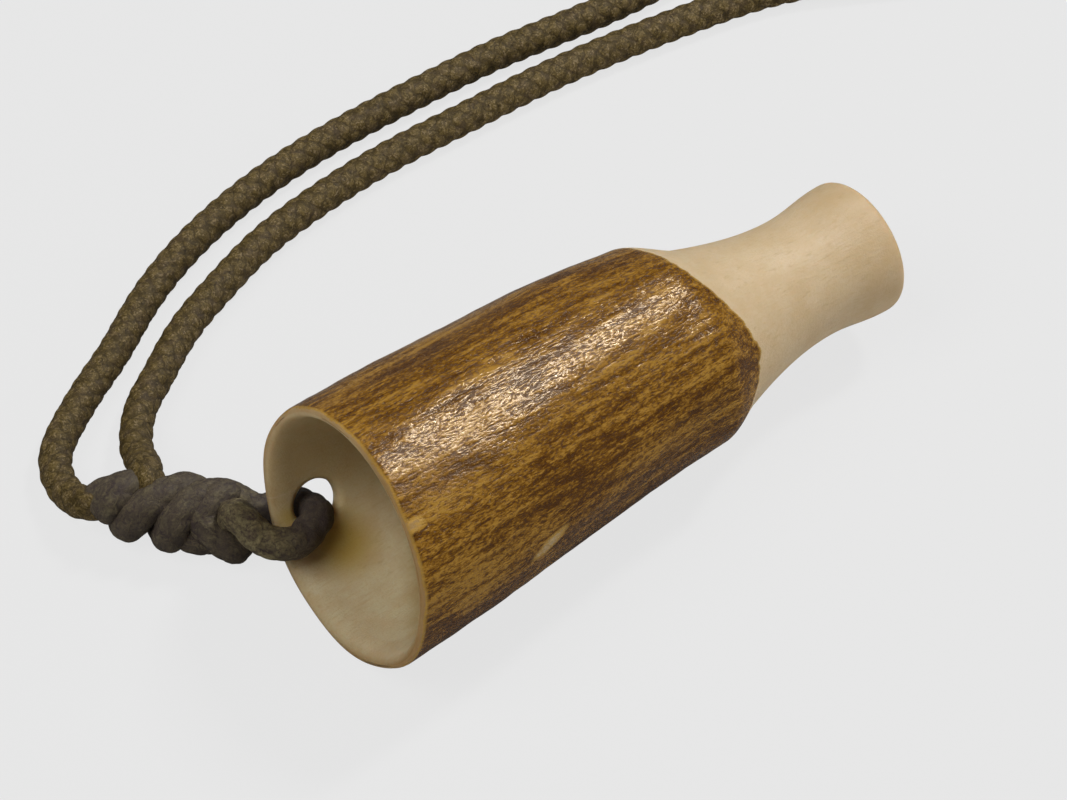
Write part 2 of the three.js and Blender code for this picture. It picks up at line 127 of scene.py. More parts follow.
look_right = np.array([math.cos(AZIMUTH), math.sin(AZIMUTH), 0])
look_back = np.array([math.sin(AZIMUTH) * math.cos(ELEVATION), -math.cos(AZIMUTH) * math.cos(ELEVATION),
                      math.sin(ELEVATION)])
look_up = np.cross(look_back, look_right)
aside = (RIM_PIXEL[0] - PHOTO_WIDTH / 2) / FOCAL_PIXELS
below = (RIM_PIXEL[1] - PHOTO_HEIGHT / 2) / FOCAL_PIXELS
eye_point = rim_centre + RIM_DISTANCE * (look_back - aside * look_right + below * look_up)

camera_data = bpy.data.cameras.new("portrait")
camera_data.sensor_width = SENSOR
camera_data.lens = FOCAL_PIXELS / PHOTO_WIDTH * SENSOR
camera_data.clip_start = NEAR_CLIP
camera = bpy.data.objects.new("portrait_camera", camera_data)
camera.matrix_world = standing(look_right, look_up, look_back, eye_point)
bpy.context.scene.collection.objects.link(camera)
bpy.context.scene.camera = camera
print("camera at", np.round(eye_point, 4), "lens", round(camera_data.lens, 1), "mm")

# %% [markdown]
# ## Nets of points
#
# Nearly every surface here is a net: rows along a piece, columns round it. Such shapes could be pushed
# and pulled by hand, but a net worked out from formulas can be measured and made again. One helper gives
# the faces between the rows and columns, and one turns points and faces into a piece that rides on a
# body of the frame. A third stores one number a point, which a finish can read.

# %% Helpers for nets and pieces
def net_faces(rows, columns, ring_of_rows=False):
    """Quads between neighbouring rows and columns. Columns close into a ring, rows only where asked."""
    row = np.arange(rows if ring_of_rows else rows - 1)[:, None]
    column = np.arange(columns)[None, :]
    after = (column + 1) % columns
    below_row = (row + 1) % rows
    corners = [row * columns + column, row * columns + after, below_row * columns + after,
               below_row * columns + column]
    return np.stack(corners, -1).reshape(-1, 4)


def add_piece(name, points, faces, body):
    """A smooth mesh made of points and faces, riding on a body."""
    mesh = bpy.data.meshes.new(name)
    mesh.from_pydata(points, [], faces)
    mesh.shade_smooth()
    piece = bpy.data.objects.new(name, mesh)
    bpy.context.scene.collection.objects.link(piece)
    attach(piece, body)
    print(name, "has", len(mesh.vertices), "points and", len(mesh.polygons), "faces")
    return piece


def store_value(piece, name, values):
    """Stores one number a point under a name."""
    layer = piece.data.attributes.new(name, "FLOAT", "POINT")
    layer.data.foreach_set("value", values.astype(np.float32))


# %% [markdown]
# ## Smooth lines
#
# A strand of cord is given by a few points and has to run smoothly through them. Blender's curves could
# do that, but here the points of the line are needed as numbers, so a cubic spline is worked out: its
# bends at the given points solve one set of linear equations.

# %% Helpers for smooth lines
SPLINE_STEPS = 40


def unit(vectors):
    """Vectors divided by their own lengths."""
    return vectors / np.linalg.norm(vectors, axis=-1, keepdims=True)


def distance_along(line):
    """Length of the line from its start to each of its points."""
    return np.concatenate([[0], np.cumsum(np.linalg.norm(np.diff(line, axis=0), axis=1))])


def smoothstep(value, low, high):
    """0 below low, 1 above high, and 3 t squared - 2 t cubed between them."""
    t = np.clip((value - low) / (high - low), 0, 1)
    return t * t * (3 - 2 * t)


class SmoothLine:
    """Cubic spline through points. Between two knots a point is the mix of both ends plus their bends, each
    times (u cubed - u) * h squared / 6, where h is the knots' gap and u the share left to that end."""

    def __init__(self, points):
        self.points = np.array(points, float)
        gaps = np.sqrt(np.linalg.norm(np.diff(self.points, axis=0), axis=1))
        self.knots = np.concatenate([[0], np.cumsum(gaps)])
        system = np.diag(np.concatenate([[1], 2 * (gaps[:-1] + gaps[1:]), [1]]))
        system += np.diag(np.concatenate([gaps[:-1], [0]]), -1)
        system += np.diag(np.concatenate([[0], gaps[1:]]), 1)
        slopes = np.diff(self.points, axis=0) / gaps[:, None]
        pull = np.zeros_like(self.points)
        pull[1:-1] = 6 * np.diff(slopes, axis=0)
        self.bends = np.linalg.solve(system, pull)
        self.dense_knots = np.linspace(0, self.knots[-1], SPLINE_STEPS * len(self.points))
        self.dense_length = distance_along(self.at_knot(self.dense_knots))
        self.length = self.dense_length[-1]

    def at_knot(self, t):
        """Points at places counted in knots."""
        part = np.clip(np.searchsorted(self.knots, t, "right") - 1, 0, len(self.knots) - 2)
        gap = (self.knots[part + 1] - self.knots[part])[:, None]
        late = (t - self.knots[part])[:, None] / gap
        early = 1 - late
        bent = (early**3 - early) * self.bends[part] + (late**3 - late) * self.bends[part + 1]
        return early * self.points[part] + late * self.points[part + 1] + bent * gap**2 / 6

    def at(self, distance):
        """Points at distances from the line's start."""
        return self.at_knot(np.interp(distance, self.dense_length, self.dense_knots))


# %% [markdown]
# ## Braid
#
# The neck cord is a round braid: yarns run round it both ways and pass over and under each other. It
# could be many thin tubes, but one tube whose skin rises and falls like the yarns has the same look and
# far fewer faces. Two slanting counts, one for each way round, tell for any place on the skin which yarn
# is on top and how far the place is from that yarn's middle. The tube's ring must not spin as the line
# bends, so the ring is carried along the line without twist.

# %% Directions carried along a line
GUESS_DIRECTION = (0.31, 0.17, 0.93)


def carried_frames(line):
    """Directions aside and over at each point. The aside direction of a fixed guess turns by a small angle
    against the one carried from the point before; the sum of these angles is turned back out of the
    guess."""
    ahead = unit(np.gradient(line, axis=0))
    guess = unit(np.cross(GUESS_DIRECTION, ahead))
    over = np.cross(ahead, guess)
    kept = guess[:-1] - np.sum(guess[:-1] * ahead[1:], 1, keepdims=True) * ahead[1:]
    turned = np.arctan2(np.sum(np.cross(kept, guess[1:]) * ahead[1:], 1), np.sum(kept * guess[1:], 1))
    twist = np.concatenate([[0], np.cumsum(turned)])[:, None]
    return np.cos(twist) * guess - np.sin(twist) * over, np.sin(twist) * guess + np.cos(twist) * over


# %% Braided skin on a line
YARNS_EACH_WAY = 4
PICK = 1.95
SIDE_POWER = 0.6
DIVE_POWER = 0.4


def braid_height(turn, picks):
    """Height of the skin, 0 in the gaps and 1 on the crowns. Each yarn counts up along its slant, and the
    yarn on top has rounded sides and dives at both ends: a power of the cosine across it times one along
    it."""
    one_way = YARNS_EACH_WAY * turn - picks
    other_way = YARNS_EACH_WAY * turn + picks
    first_on_top = (np.floor(one_way) + np.floor(other_way)) % 2 == 0
    across = np.where(first_on_top, one_way, other_way) % 1 - 0.5
    lengthwise = np.where(first_on_top, other_way, one_way) % 1 - 0.5
    return np.abs(np.cos(np.pi * across)) ** SIDE_POWER * np.abs(np.cos(np.pi * lengthwise)) ** DIVE_POWER


def braided_tube(line, radius, relief, sides, first=0):
    """Points, faces and face-corner UVs of a braided tube: each point of the line plus a ring whose radius,
    one for all rows or one a row, drops by relief in the gaps between yarns. The last two points close the
    ends. U is turns and V is picks along the cord. Faces count points from first."""
    radius = np.reshape(radius, (-1, 1))
    picks = distance_along(line) / (PICK * MM)
    turn = np.arange(sides) / sides
    aside_line, over_line = carried_frames(line)
    drop = relief * (1 - braid_height(turn[None, :], picks[:, None]))
    ring = np.cos(2 * np.pi * turn)[None, :, None] * aside_line[:, None]
    ring = ring + np.sin(2 * np.pi * turn)[None, :, None] * over_line[:, None]
    skin = line[:, None] + MM * (radius - drop)[..., None] * ring
    rows = len(line)
    points = np.vstack([skin.reshape(-1, 3), line[0], line[-1]])
    around = np.arange(sides)
    after = (around + 1) % sides
    last = (rows - 1) * sides
    start = np.column_stack([np.full(sides, rows * sides), after, around])
    end = np.column_stack([np.full(sides, rows * sides + 1), last + around, last + after])
    faces = (first + net_faces(rows, sides)).tolist() + (first + np.vstack([start, end])).tolist()
    u = np.stack([turn, turn + 1 / sides, turn + 1 / sides, turn], -1)
    u = np.broadcast_to(u, (rows - 1, sides, 4))
    v = np.stack([picks[:-1], picks[:-1], picks[1:], picks[1:]], -1)[:, None]
    corner_uv = np.stack([u, np.broadcast_to(v, u.shape)], -1).reshape(-1, 2)
    cap_uv = np.repeat([[0.0, picks[0]], [0.0, picks[-1]]], 3 * sides, axis=0)
    return points, faces, np.vstack([corner_uv, cap_uv])


def add_braid_uv(piece, corner_uv):
    """Stores turns and picks as the piece's own UV map."""
    layer = piece.data.uv_layers.new(name="braid")
    layer.uv.foreach_set("vector", corner_uv.astype(np.float32).ravel())


# %% [markdown]
# ## Knot and eye
#
# The cord's tied end was followed over an enlarged photograph. One strand comes out of the knot,
# goes down through the hole in the bell wall, forward over the rim and back into the knot. There it
# dives between the wraps of a second strand, a third fills the far side, and a short core keeps light
# from showing through. A simulated knot would tighten into a shape of its own, so each strand is a
# smooth line through places that were read off. They are given along the knot, out from its middle and
# round it, because each wrap is then a few simple numbers. The wraps and the part in the bell are
# darkened as painted shade, so each point stores how much painted shade it gets.

# %% Strands of the knot and the eye
KNOT_START = by_floor((-2.5, 13.5, 3.68))
KNOT_HEADING = math.radians(130)
knot_ahead = np.array([math.cos(KNOT_HEADING), math.sin(KNOT_HEADING), 0])
knot_left = np.array([-knot_ahead[1], knot_ahead[0], 0])


def in_knot(places):
    """Frame points from rows of (along the knot, out from its middle, degrees up from its left side)."""
    along, out, degrees = np.array(places, float).T
    angle = np.radians(degrees)[:, None]
    across = np.cos(angle) * knot_left + np.sin(angle) * [0, 0, 1]
    return KNOT_START + MM * (along[:, None] * knot_ahead + out[:, None] * across)


eye_from_knot = [(0.5, 0.1, 60), (0.1, 1.75, 62), (-0.7, 3.15, 60)]
eye_places = [
    (-3, 11.9, 0.9), (-2.7, 10.7, -0.4), (-1.7, 9.6, -1.3), (-0.2, 9.1, -1.75), (1.3, 9.5, -1.55),
    (2.5, 9.8, -1.15), (3.3, 10.7, -1.0), (3.6, 12.5, -0.8), (2.9, 14.6, -0.3), (0.4, 15.7, 0.1),
]
eye_into_knot = [
    (-0.3, 1.6, 155), (1.3, 1.95, 138), (3, 1.95, 108), (4.6, 1.85, 55), (5.5, 2.1, 0), (6, 2.2, -42),
    (7.2, 1.75, -95), (8.9, 1.6, -155), (10.5, 1.3, -210), (12, 0.7, -250), (13, 0, -270),
]
collar_wraps = [
    (-0.6, 0.9, 200), (0.6, 1.75, 155), (1.7, 2.05, 112), (2.7, 1.5, 55), (1.7, 1.7, 5), (-0.2, 2.35, -38),
    (0.4, 1.85, -80), (1.5, 1.75, -125), (2.9, 1.75, -165), (3.8, 1.85, -190), (4.9, 2.05, -225),
    (6.6, 1.8, -265), (8.1, 1.7, -310), (9.3, 1.75, -360), (10, 1.8, -405), (10.8, 1, -450),
]
lower_wraps = [
    (0.8, 0.9, -90), (2, 1.75, -60), (3.5, 2, -35), (4.8, 1.7, -80), (6.2, 1.5, -130), (7.6, 1.5, -170),
    (9, 1.65, -210), (10.3, 1.65, -255), (11.3, 1.45, -305), (12, 0.9, -350),
]
core_places = [(0.2, 0.4, 60), (4, 0.3, 40), (8, 0.2, 0), (12.4, 0.2, 0)]
eye_line = np.vstack([in_knot(eye_from_knot), by_hole(eye_places)])
tied_lines = [SmoothLine(np.vstack([eye_line, in_knot(eye_into_knot)]))]
tied_lines += [SmoothLine(in_knot(places)) for places in (collar_wraps, lower_wraps, core_places)]
eye_length = SmoothLine(eye_line).length
print("tied strands, mm:", [round(line.length / MM, 1) for line in tied_lines])

# %% Knot and eye as one piece
EYE_RADIUS = 1.6
WRAP_RADIUS = 1.75
TIED_RELIEF = 0.15
CORD_SIDES = 32
FINE_STEP = 0.22
INTO_WRAP = 4.0
# Painted shade on the wraps and on the eye where it lies in the bell.
SHADED_PAST_RIM = (-2.2, 0.8)
SHADE_IN_BELL = 1.5

tied_points = np.zeros((0, 3))
tied_faces = []
tied_uv = np.zeros((0, 2))
tied_shade = np.zeros(0)
for strand in tied_lines:
    rows = np.linspace(0, strand.length, round(strand.length / (FINE_STEP * MM)))
    wrapped = np.ones(len(rows))
    if strand is tied_lines[0]:
        wrapped = smoothstep(rows, eye_length, eye_length + INTO_WRAP * MM)
    strand_line = strand.at(rows)
    strand_radius = EYE_RADIUS + (WRAP_RADIUS - EYE_RADIUS) * wrapped
    # Painted shade: the eye darkens past the rim into the bell, and the wraps are darkened all along.
    in_bell = smoothstep((strand_line - rim_centre) @ axis_along / MM, *SHADED_PAST_RIM)
    strand_shade = np.repeat(np.maximum(wrapped, SHADE_IN_BELL * in_bell), CORD_SIDES)
    tube = braided_tube(strand_line, strand_radius, TIED_RELIEF, CORD_SIDES, len(tied_points))
    tied_points = np.vstack([tied_points, tube[0]])
    tied_faces += tube[1]
    tied_uv = np.vstack([tied_uv, tube[2]])
    tied_shade = np.concatenate([tied_shade, strand_shade, [1, 1]])
knot = add_piece("knot_and_eye", tied_points, tied_faces, "call")
add_braid_uv(knot, tied_uv)
store_value(knot, "soiled", tied_shade)
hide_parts("cord_knot", "cord_eye")
print("lowest point of the knot, mm:", round(tied_points[:, 2].min() / MM, 2))

# %% [markdown]
# ## Neck cord
#
# Two strands leave the knot and run along the floor to the right, a little apart. The photograph cuts
# them off, but a neck cord goes round a neck: about 80 cm between its ends. The length that doesn't show
# is wound into a neat coil of two layers just past the edge of the picture. A simulation could drop the
# cord on the floor, but not just where it lies in the photograph, so the whole free cord is one drawn
# line: out along the near strand, round the coil and back along the far strand. Rows lie close together
# where the camera sees the braid, and wider apart in the coil.

# %% Route of the neck cord
FLOOR_HEIGHT = 1.65
COIL_CENTRE = np.array([112.0, 43.0])
COIL_RADIUS = 20.5
COIL_PITCH = 3.5
COIL_TURNS = 5
COIL_START = math.radians(-125)
COIL_SWEEP = math.radians(275) + 2 * math.pi * COIL_TURNS
COIL_LOW = 2.5
COIL_POINTS = 139


def on_floor(places):
    """Frame points from rows of (x, y), for a cord that lies with its middle at its resting height."""
    return by_floor(np.column_stack([places, np.full(len(places), FLOOR_HEIGHT)]))


def coil_line():
    """A spiral that winds in by one pitch a turn, climbs a layer in its middle half turn and winds out."""
    turned = np.linspace(0, COIL_SWEEP, COIL_POINTS)
    angle = COIL_START + turned
    radius = COIL_RADIUS - COIL_PITCH * np.minimum(turned, COIL_SWEEP - turned) / (2 * math.pi)
    climb = smoothstep(turned, (COIL_SWEEP - math.pi) / 2, (COIL_SWEEP + math.pi) / 2)
    x = COIL_CENTRE[0] + radius * np.cos(angle)
    y = COIL_CENTRE[1] + radius * np.sin(angle)
    return by_floor(np.column_stack([x, y, COIL_LOW + COIL_PITCH * climb]))


near_out_of_knot = [(7.8, 0.6, 110), (8.7, 2.7, 132)]
near_down = [(-5.1, 24.5, 3.5), (-4.1, 27, 2.35)]
near_lying = [
    (-0.7, 31.2), (2.5, 33.25), (5.9, 35.35), (9.6, 37.25), (13.8, 38.8), (19.8, 40.7), (26.2, 41.8),
    (36.4, 42.3), (45.9, 41.75), (55.1, 41.1), (64.2, 39.9), (73.3, 38.2), (82.7, 35.7),
]
near_onto_coil = [(91, 31.4, 1.9)]
far_off_coil = [(88, 46.3, 4.6), (81, 44.4, 2.5)]
far_lying = [
    (73.4, 44.2), (63.9, 45.1), (54.7, 46.6), (45.4, 47.4), (35.7, 47.85), (25.4, 47.35), (15.1, 45.15),
    (7, 41.75), (1.5, 38.55), (-2.5, 36.55), (-6.7, 34.2), (-9.95, 31.8),
]
far_up = [(-11.5, 29.25, 1.72), (-12.05, 26.4, 2.25)]
far_into_knot = [(13.6, 0.6, -10), (12.2, 0.2, 50)]
near_strand = np.vstack([in_knot(near_out_of_knot), by_floor(near_down), on_floor(near_lying),
                         by_floor(near_onto_coil)])
far_strand = np.vstack([by_floor(far_off_coil), on_floor(far_lying), by_floor(far_up),
                        in_knot(far_into_knot)])
coil = coil_line()
cord_line = SmoothLine(np.vstack([near_strand, coil, far_strand]))
near_length = SmoothLine(np.vstack([near_strand, coil[:1]])).length
far_length = SmoothLine(np.vstack([coil[-1:], far_strand])).length
print("neck cord, near strand and far strand, m:", np.round([cord_line.length, near_length, far_length], 4))

# %% Neck cord as one braided piece
CORD_DIAMETER = 3.0
CORD_SWELL = 0.13
CORD_RELIEF = 0.17
COIL_STEP = 0.42

coil_end = cord_line.length - far_length
fine_rows = np.arange(0, near_length, FINE_STEP * MM)
coil_rows = np.arange(near_length, coil_end, COIL_STEP * MM)
last_rows = np.linspace(coil_end, cord_line.length, round(far_length / (FINE_STEP * MM)))
cord_path = cord_line.at(np.concatenate([fine_rows, coil_rows, last_rows]))
points, faces, corner_uv = braided_tube(cord_path, CORD_DIAMETER / 2 + CORD_SWELL, CORD_RELIEF, CORD_SIDES)
neck_cord = add_piece("neck_cord", points, faces, "call")
add_braid_uv(neck_cord, corner_uv)
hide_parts("cord_near_strand", "cord_far_strand", "cord_coil")

# %% [markdown]
# ## Coil tie
#
# A short band of woven tape holds the coil together. A curve with a flat bevel could make it, but its
# twist is hard to steer, so a flat profile is carried round a rounded rectangle: under the turns, up
# their inside, over the top and past its own start, where the free end lies on the first layer.

# %% Tape round the coil
TIE_ANGLE = math.radians(20)
TIE_LOW = 7.9
TIE_HIGH = 23.0
TIE_TOP = 8.5
TIE_CORNER = 2.4
TIE_CLEARANCE = 0.02
TAPE_WIDTH = 4.0
TAPE_THICKNESS = 0.55
TAPE_ROWS = 220
TAPE_COLUMNS = 20
TAPE_START = -0.06
TAPE_END = 1.2
LAYER_GAP = 0.06
LAYER_RISE = (0.86, 0.93)
EDGE_POWER = 0.3
FACE_POWER = 0.6


def rounded_rectangle(share, low, high, bottom, top, corner):
    """Point and outward direction at a share of the way round a rectangle whose corners are quarter
    circles, from the middle of its top towards the high side. The flats and the arcs are taken in turn by
    their lengths."""
    wide = high - low - 2 * corner
    tall = top - bottom - 2 * corner
    arc = math.pi * corner / 2
    run = np.cumsum([0, wide / 2, arc, tall, arc, wide, arc, tall, arc, wide / 2])
    s = (share % 1) * run[-1]
    middle = np.array([(low + high) / 2, (bottom + top) / 2])
    turn = np.interp(s, run, np.radians([90, 90, 0, 0, -90, -90, -180, -180, -270, -270]))
    x_flat = np.interp(s, run, np.array([0, 1, 1, 1, 1, -1, -1, -1, -1, 0]) * wide / 2)
    y_flat = np.interp(s, run, np.array([1, 1, 1, -1, -1, -1, -1, 1, 1, 1]) * tall / 2)
    outward = np.stack([np.cos(turn), np.sin(turn)], -1)
    return middle + np.stack([x_flat, y_flat], -1) + corner * outward, outward


def signed_power(value, power):
    """The size of a value to a power, with the value's own sign."""
    return np.sign(value) * np.abs(value) ** power


lap = np.linspace(TAPE_START, TAPE_END, TAPE_ROWS)
section_turn = 2 * np.pi * np.arange(TAPE_COLUMNS) / TAPE_COLUMNS
section_wide = signed_power(np.cos(section_turn), EDGE_POWER) * TAPE_WIDTH / 2
section_thick = signed_power(np.sin(section_turn), FACE_POWER) * TAPE_THICKNESS / 2
tape_half = TAPE_THICKNESS / 2
middle_line, outward = rounded_rectangle(lap, TIE_LOW + tape_half, TIE_HIGH - tape_half,
                                         TIE_CLEARANCE + tape_half, TIE_TOP - tape_half, TIE_CORNER)
lift = (TAPE_THICKNESS + LAYER_GAP) * smoothstep(lap, *LAYER_RISE)
middle_line = middle_line + lift[:, None] * outward
flat_points = middle_line[:, None] + section_thick[None, :, None] * outward[:, None]
radial = np.array([math.cos(TIE_ANGLE), math.sin(TIE_ANGLE), 0])
tangent = np.array([-math.sin(TIE_ANGLE), math.cos(TIE_ANGLE), 0])
tape_points = flat_points[..., :1] * radial + flat_points[..., 1:] * [0, 0, 1]
tape_points = tape_points - section_wide[None, :, None] * tangent + [*COIL_CENTRE, 0]
tape_points = by_floor(tape_points.reshape(-1, 3))
tape_ends = [list(range(TAPE_COLUMNS))[::-1],
             list(range((TAPE_ROWS - 1) * TAPE_COLUMNS, TAPE_ROWS * TAPE_COLUMNS))]
tape_faces = net_faces(TAPE_ROWS, TAPE_COLUMNS).tolist() + tape_ends
tie = add_piece("coil_tape", tape_points, tape_faces, "call")
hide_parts("coil_tie")

# %% [markdown]
# ## Antler: outline
#
# The antler is turned, so it starts as an outline spun about the axis: over the barrel, down the
# shoulder, along the neck to the lip, round the mouthpiece and back through the reed chamber, the throat
# and the bell's hollow to the rim, which is rolled over into the hollow. A Screw modifier could spin it,
# but the bark and the cord hole have to move single points, so the net is worked out here. The outline
# is one closed loop of rows, so the piece is a closed skin with no cut edges. Rows are a quarter of a
# millimetre apart by the cord hole and on the bark, where the detail is.

# %% Antler outline: curves
BELL_RADIUS = 12.5
BARREL_PULL = 11.95
BARREL_END = 37.0
SHOULDER_RADIUS = 10.36
SHOULDER_PULL = 0.58
BARK_END = 42.0
BARK_END_RADIUS = 8.25
NECK_PULL = 7.025
WAIST = 53.5
WAIST_RADIUS = 6.1
LIP_START = 60.2
LIP_RADIUS = 6.72
RIM_ROUND = 0.45
RIM_CROWN = 11.95
RIM_INNER = 11.15
RIM_ROLL = 0.3
RIM_DEPTH = 2.2
RIM_EASE = 0.08
THROAT_START = 31.1
THROAT_RADIUS = 2.4
BOWL_PULLS = [(0.45, 0.93), (0.77, 0.45)]


def bezier(controls, steps):
    """Points of a Bezier curve at even steps: controls weighted by the binomial terms of t and 1 - t."""
    controls = np.array(controls, float)
    degree = len(controls) - 1
    t = np.linspace(0, 1, steps)[:, None]
    weights = [math.comb(degree, k) * t**k * (1 - t) ** (degree - k) for k in range(degree + 1)]
    return sum(weight * control for weight, control in zip(weights, controls))


shoulder_third = (BARK_END - BARREL_END) / 3
neck_third = (WAIST - BARK_END) / 3
lip_third = (CALL_LENGTH - WAIST) / 3
barrel = bezier([(RIM_ROUND, BELL_RADIUS), (BARREL_END / 2, BARREL_PULL),
                 (BARREL_END, SHOULDER_RADIUS)], 200)
shoulder = bezier([(BARREL_END, SHOULDER_RADIUS), (BARREL_END + shoulder_third, SHOULDER_RADIUS),
                   (BARK_END - shoulder_third, BARK_END_RADIUS + SHOULDER_PULL),
                   (BARK_END, BARK_END_RADIUS)], 80)
neck = bezier([(BARK_END, BARK_END_RADIUS), (BARK_END + neck_third, NECK_PULL),
               (WAIST - neck_third, WAIST_RADIUS), (WAIST, WAIST_RADIUS)], 80)
lip = bezier([(WAIST, WAIST_RADIUS), (WAIST + lip_third, WAIST_RADIUS), (LIP_START - lip_third, LIP_RADIUS),
              (LIP_START, LIP_RADIUS)], 80)
outside = np.vstack([barrel, shoulder, neck, lip])
bowl_pulls = [(THROAT_START * deep, RIM_INNER * wide) for deep, wide in BOWL_PULLS]
bowl = bezier([(RIM_ROUND, RIM_INNER), *bowl_pulls, (THROAT_START, THROAT_RADIUS)], 300)
bowl = bowl[bowl[:, 0] > RIM_DEPTH]
rim_curve = bezier([(0, RIM_CROWN), (0, RIM_INNER + RIM_ROLL), (RIM_DEPTH / 3, bowl[0, 1] + RIM_EASE),
                    bowl[0]], 24)
hollow = np.vstack([rim_curve[:-1], bowl])


def on_outside(along):
    """Radius of the turned outside at places along the axis."""
    return np.interp(along, outside[:, 0], outside[:, 1])


def on_hollow(along):
    """Radius of the bell's hollow at places along the axis."""
    return np.interp(along, hollow[:, 0], hollow[:, 1])


print("bell hollow from radius", round(hollow[0, 1], 2), "to", round(hollow[-1, 1], 2), "mm")

# %% Antler outline: rows
HOLE_SETBACK = 4.1
ROW_STEP = 0.25
SEAT = 35.1
CHAMBER_RADIUS = 3.6
CHAMFER = 0.6
FACE_ROWS = [5.4, 4.9, 4.5]
SEAT_ROWS = [2.9, 2.5]
THROAT_MIDDLE = 33.0

barrel_rows = HOLE_SETBACK + ROW_STEP * np.arange(-14, 132)
turned_rows = np.concatenate([[RIM_ROUND], barrel_rows, np.linspace(BARREL_END + 0.1, BARK_END, 18),
                              np.linspace(BARK_END + 0.5, WAIST, 22),
                              np.linspace(WAIST + 0.5, LIP_START, 18)])
bell_rows = np.concatenate([np.linspace(THROAT_START, 8.4, 44),
                            HOLE_SETBACK - ROW_STEP * np.arange(-16, 15)])
outer_outline = np.vstack([
    bezier([(0, BELL_RADIUS - RIM_ROUND), (0, BELL_RADIUS), (RIM_ROUND, BELL_RADIUS)], 5)[:-1],
    np.column_stack([turned_rows, on_outside(turned_rows)]),
    bezier([(LIP_START, LIP_RADIUS), (CALL_LENGTH, LIP_RADIUS), (CALL_LENGTH, LIP_RADIUS - 1)], 8)[1:],
])
inner_outline = np.vstack([
    [(CALL_LENGTH, radius) for radius in FACE_ROWS],
    bezier([(CALL_LENGTH, CHAMBER_RADIUS + CHAMFER), (CALL_LENGTH, CHAMBER_RADIUS),
            (CALL_LENGTH - CHAMFER, CHAMBER_RADIUS)], 7),
    np.column_stack([np.linspace(60, SEAT + 0.2, 12), np.full(12, CHAMBER_RADIUS)]),
    [(SEAT, radius) for radius in [CHAMBER_RADIUS - 0.05, *SEAT_ROWS]],
    [(SEAT - 0.1, THROAT_RADIUS), (THROAT_MIDDLE, THROAT_RADIUS)],
    np.column_stack([bell_rows, on_hollow(bell_rows)]),
    rim_curve[rim_curve[:, 0] < bell_rows[-1] - 0.03][::-1],
])
outline = np.vstack([outer_outline, inner_outline])
is_outside = np.arange(len(outline)) < len(outer_outline)
print("antler outline:", len(outer_outline), "rows outside,", len(inner_outline), "inside")

# %% [markdown]
# ## Antler: cord hole in the net
#
# A hole could be cut with a boolean, but that leaves long thin faces that shade badly. Here the net
# itself makes room. Round the hole, squares of the net are counted in rings. The seventh ring is pulled
# into a circle, the rings outside it ease back to the plain net, and the faces inside it are left out.
# The outside and the hollow get the same circle, and a rounded wall joins the two.

# %% Make room for the cord hole
COLUMNS = 272
HOLE_RADIUS = 2.1
HOLE_ROUND = 0.6
HOLE_RING = 7
NET_RING = 13

column_step = 2 * math.pi / COLUMNS
row_number = np.arange(len(outline))[:, None]
column_number = np.arange(COLUMNS)[None, :] - COLUMNS // 2
net_along = np.repeat(outline[:, :1], COLUMNS, axis=1)
net_angle = np.repeat(HOLE_ANGLE + column_step * column_number, len(outline), axis=0)
at_hole = np.isclose(outline[:, 0], HOLE_SETBACK)
outer_row = int(np.flatnonzero(at_hole & is_outside)[0])
inner_row = int(np.flatnonzero(at_hole & ~is_outside)[0])


def make_room(centre_row, step, radius):
    """Net places round the hole. Ring by ring, a place is the mix of its direction on the hole's circle and
    its direction on the outermost square; the share grows from 0 at the hole to 1 at that square."""
    rows = (row_number - centre_row) + 0 * column_number
    columns = column_number + 0 * row_number
    ring = np.maximum(np.abs(rows), np.abs(columns))
    share = np.clip((ring - HOLE_RING) / (NET_RING - HOLE_RING), 0, 1)
    heading = np.arctan2(columns, rows)
    stretch = NET_RING / np.maximum(ring, 1)
    circle = HOLE_RADIUS + HOLE_ROUND
    along = (1 - share) * circle * np.cos(heading) * np.sign(step) + share * rows * stretch * step
    sideways = share * radius * np.sin(np.clip(columns * stretch * column_step, -1, 1))
    sideways = sideways + (1 - share) * circle * np.sin(heading)
    moved = (ring >= HOLE_RING) & (ring < NET_RING)
    new_along = np.where(moved, HOLE_SETBACK + along, net_along)
    new_angle = np.where(moved, HOLE_ANGLE + np.arcsin(np.clip(sideways / radius, -1, 1)), net_angle)
    direction = np.arctan2(columns, rows * np.sign(step))
    return ring, new_along, new_angle, direction


outer_ring, net_along, net_angle, outer_direction = make_room(outer_row, ROW_STEP, on_outside(HOLE_SETBACK))
inner_ring, net_along, net_angle, inner_direction = make_room(inner_row, -ROW_STEP, on_hollow(HOLE_SETBACK))
net_radius = np.repeat(outline[:, 1:], COLUMNS, axis=1)
net_radius = np.where(outer_ring < NET_RING, on_outside(net_along), net_radius)
net_radius = np.where(inner_ring < NET_RING, on_hollow(net_along), net_radius)
print("cord hole in rows", outer_row, "and", inner_row, "of", len(outline))

# %% [markdown]
# ## Antler: bark
#
# Bark grows over the barrel and ends in a wavy line on the shoulder, where the maker's tool broke
# through it. Its bow and its shallow ridges are in the solid too. The small swerve of the barrel, the
# sag of the neck and the reach of the rim are added here, because the outline in the photograph has
# them. A Displace modifier could roughen the skin, but the roughness has to fade towards the bark's edge
# and the chips, so it comes from random heights on nets that close round the antler, eased between their
# knots. Two old chips show the pale core. For the finish, each point also stores how far it lies inside
# the bark, so the finish can draw the bark's edge as sharply as it likes.

# %% Helpers for bark
BARK_MIDDLE = 39.25
CHIP_ARM = 12.0


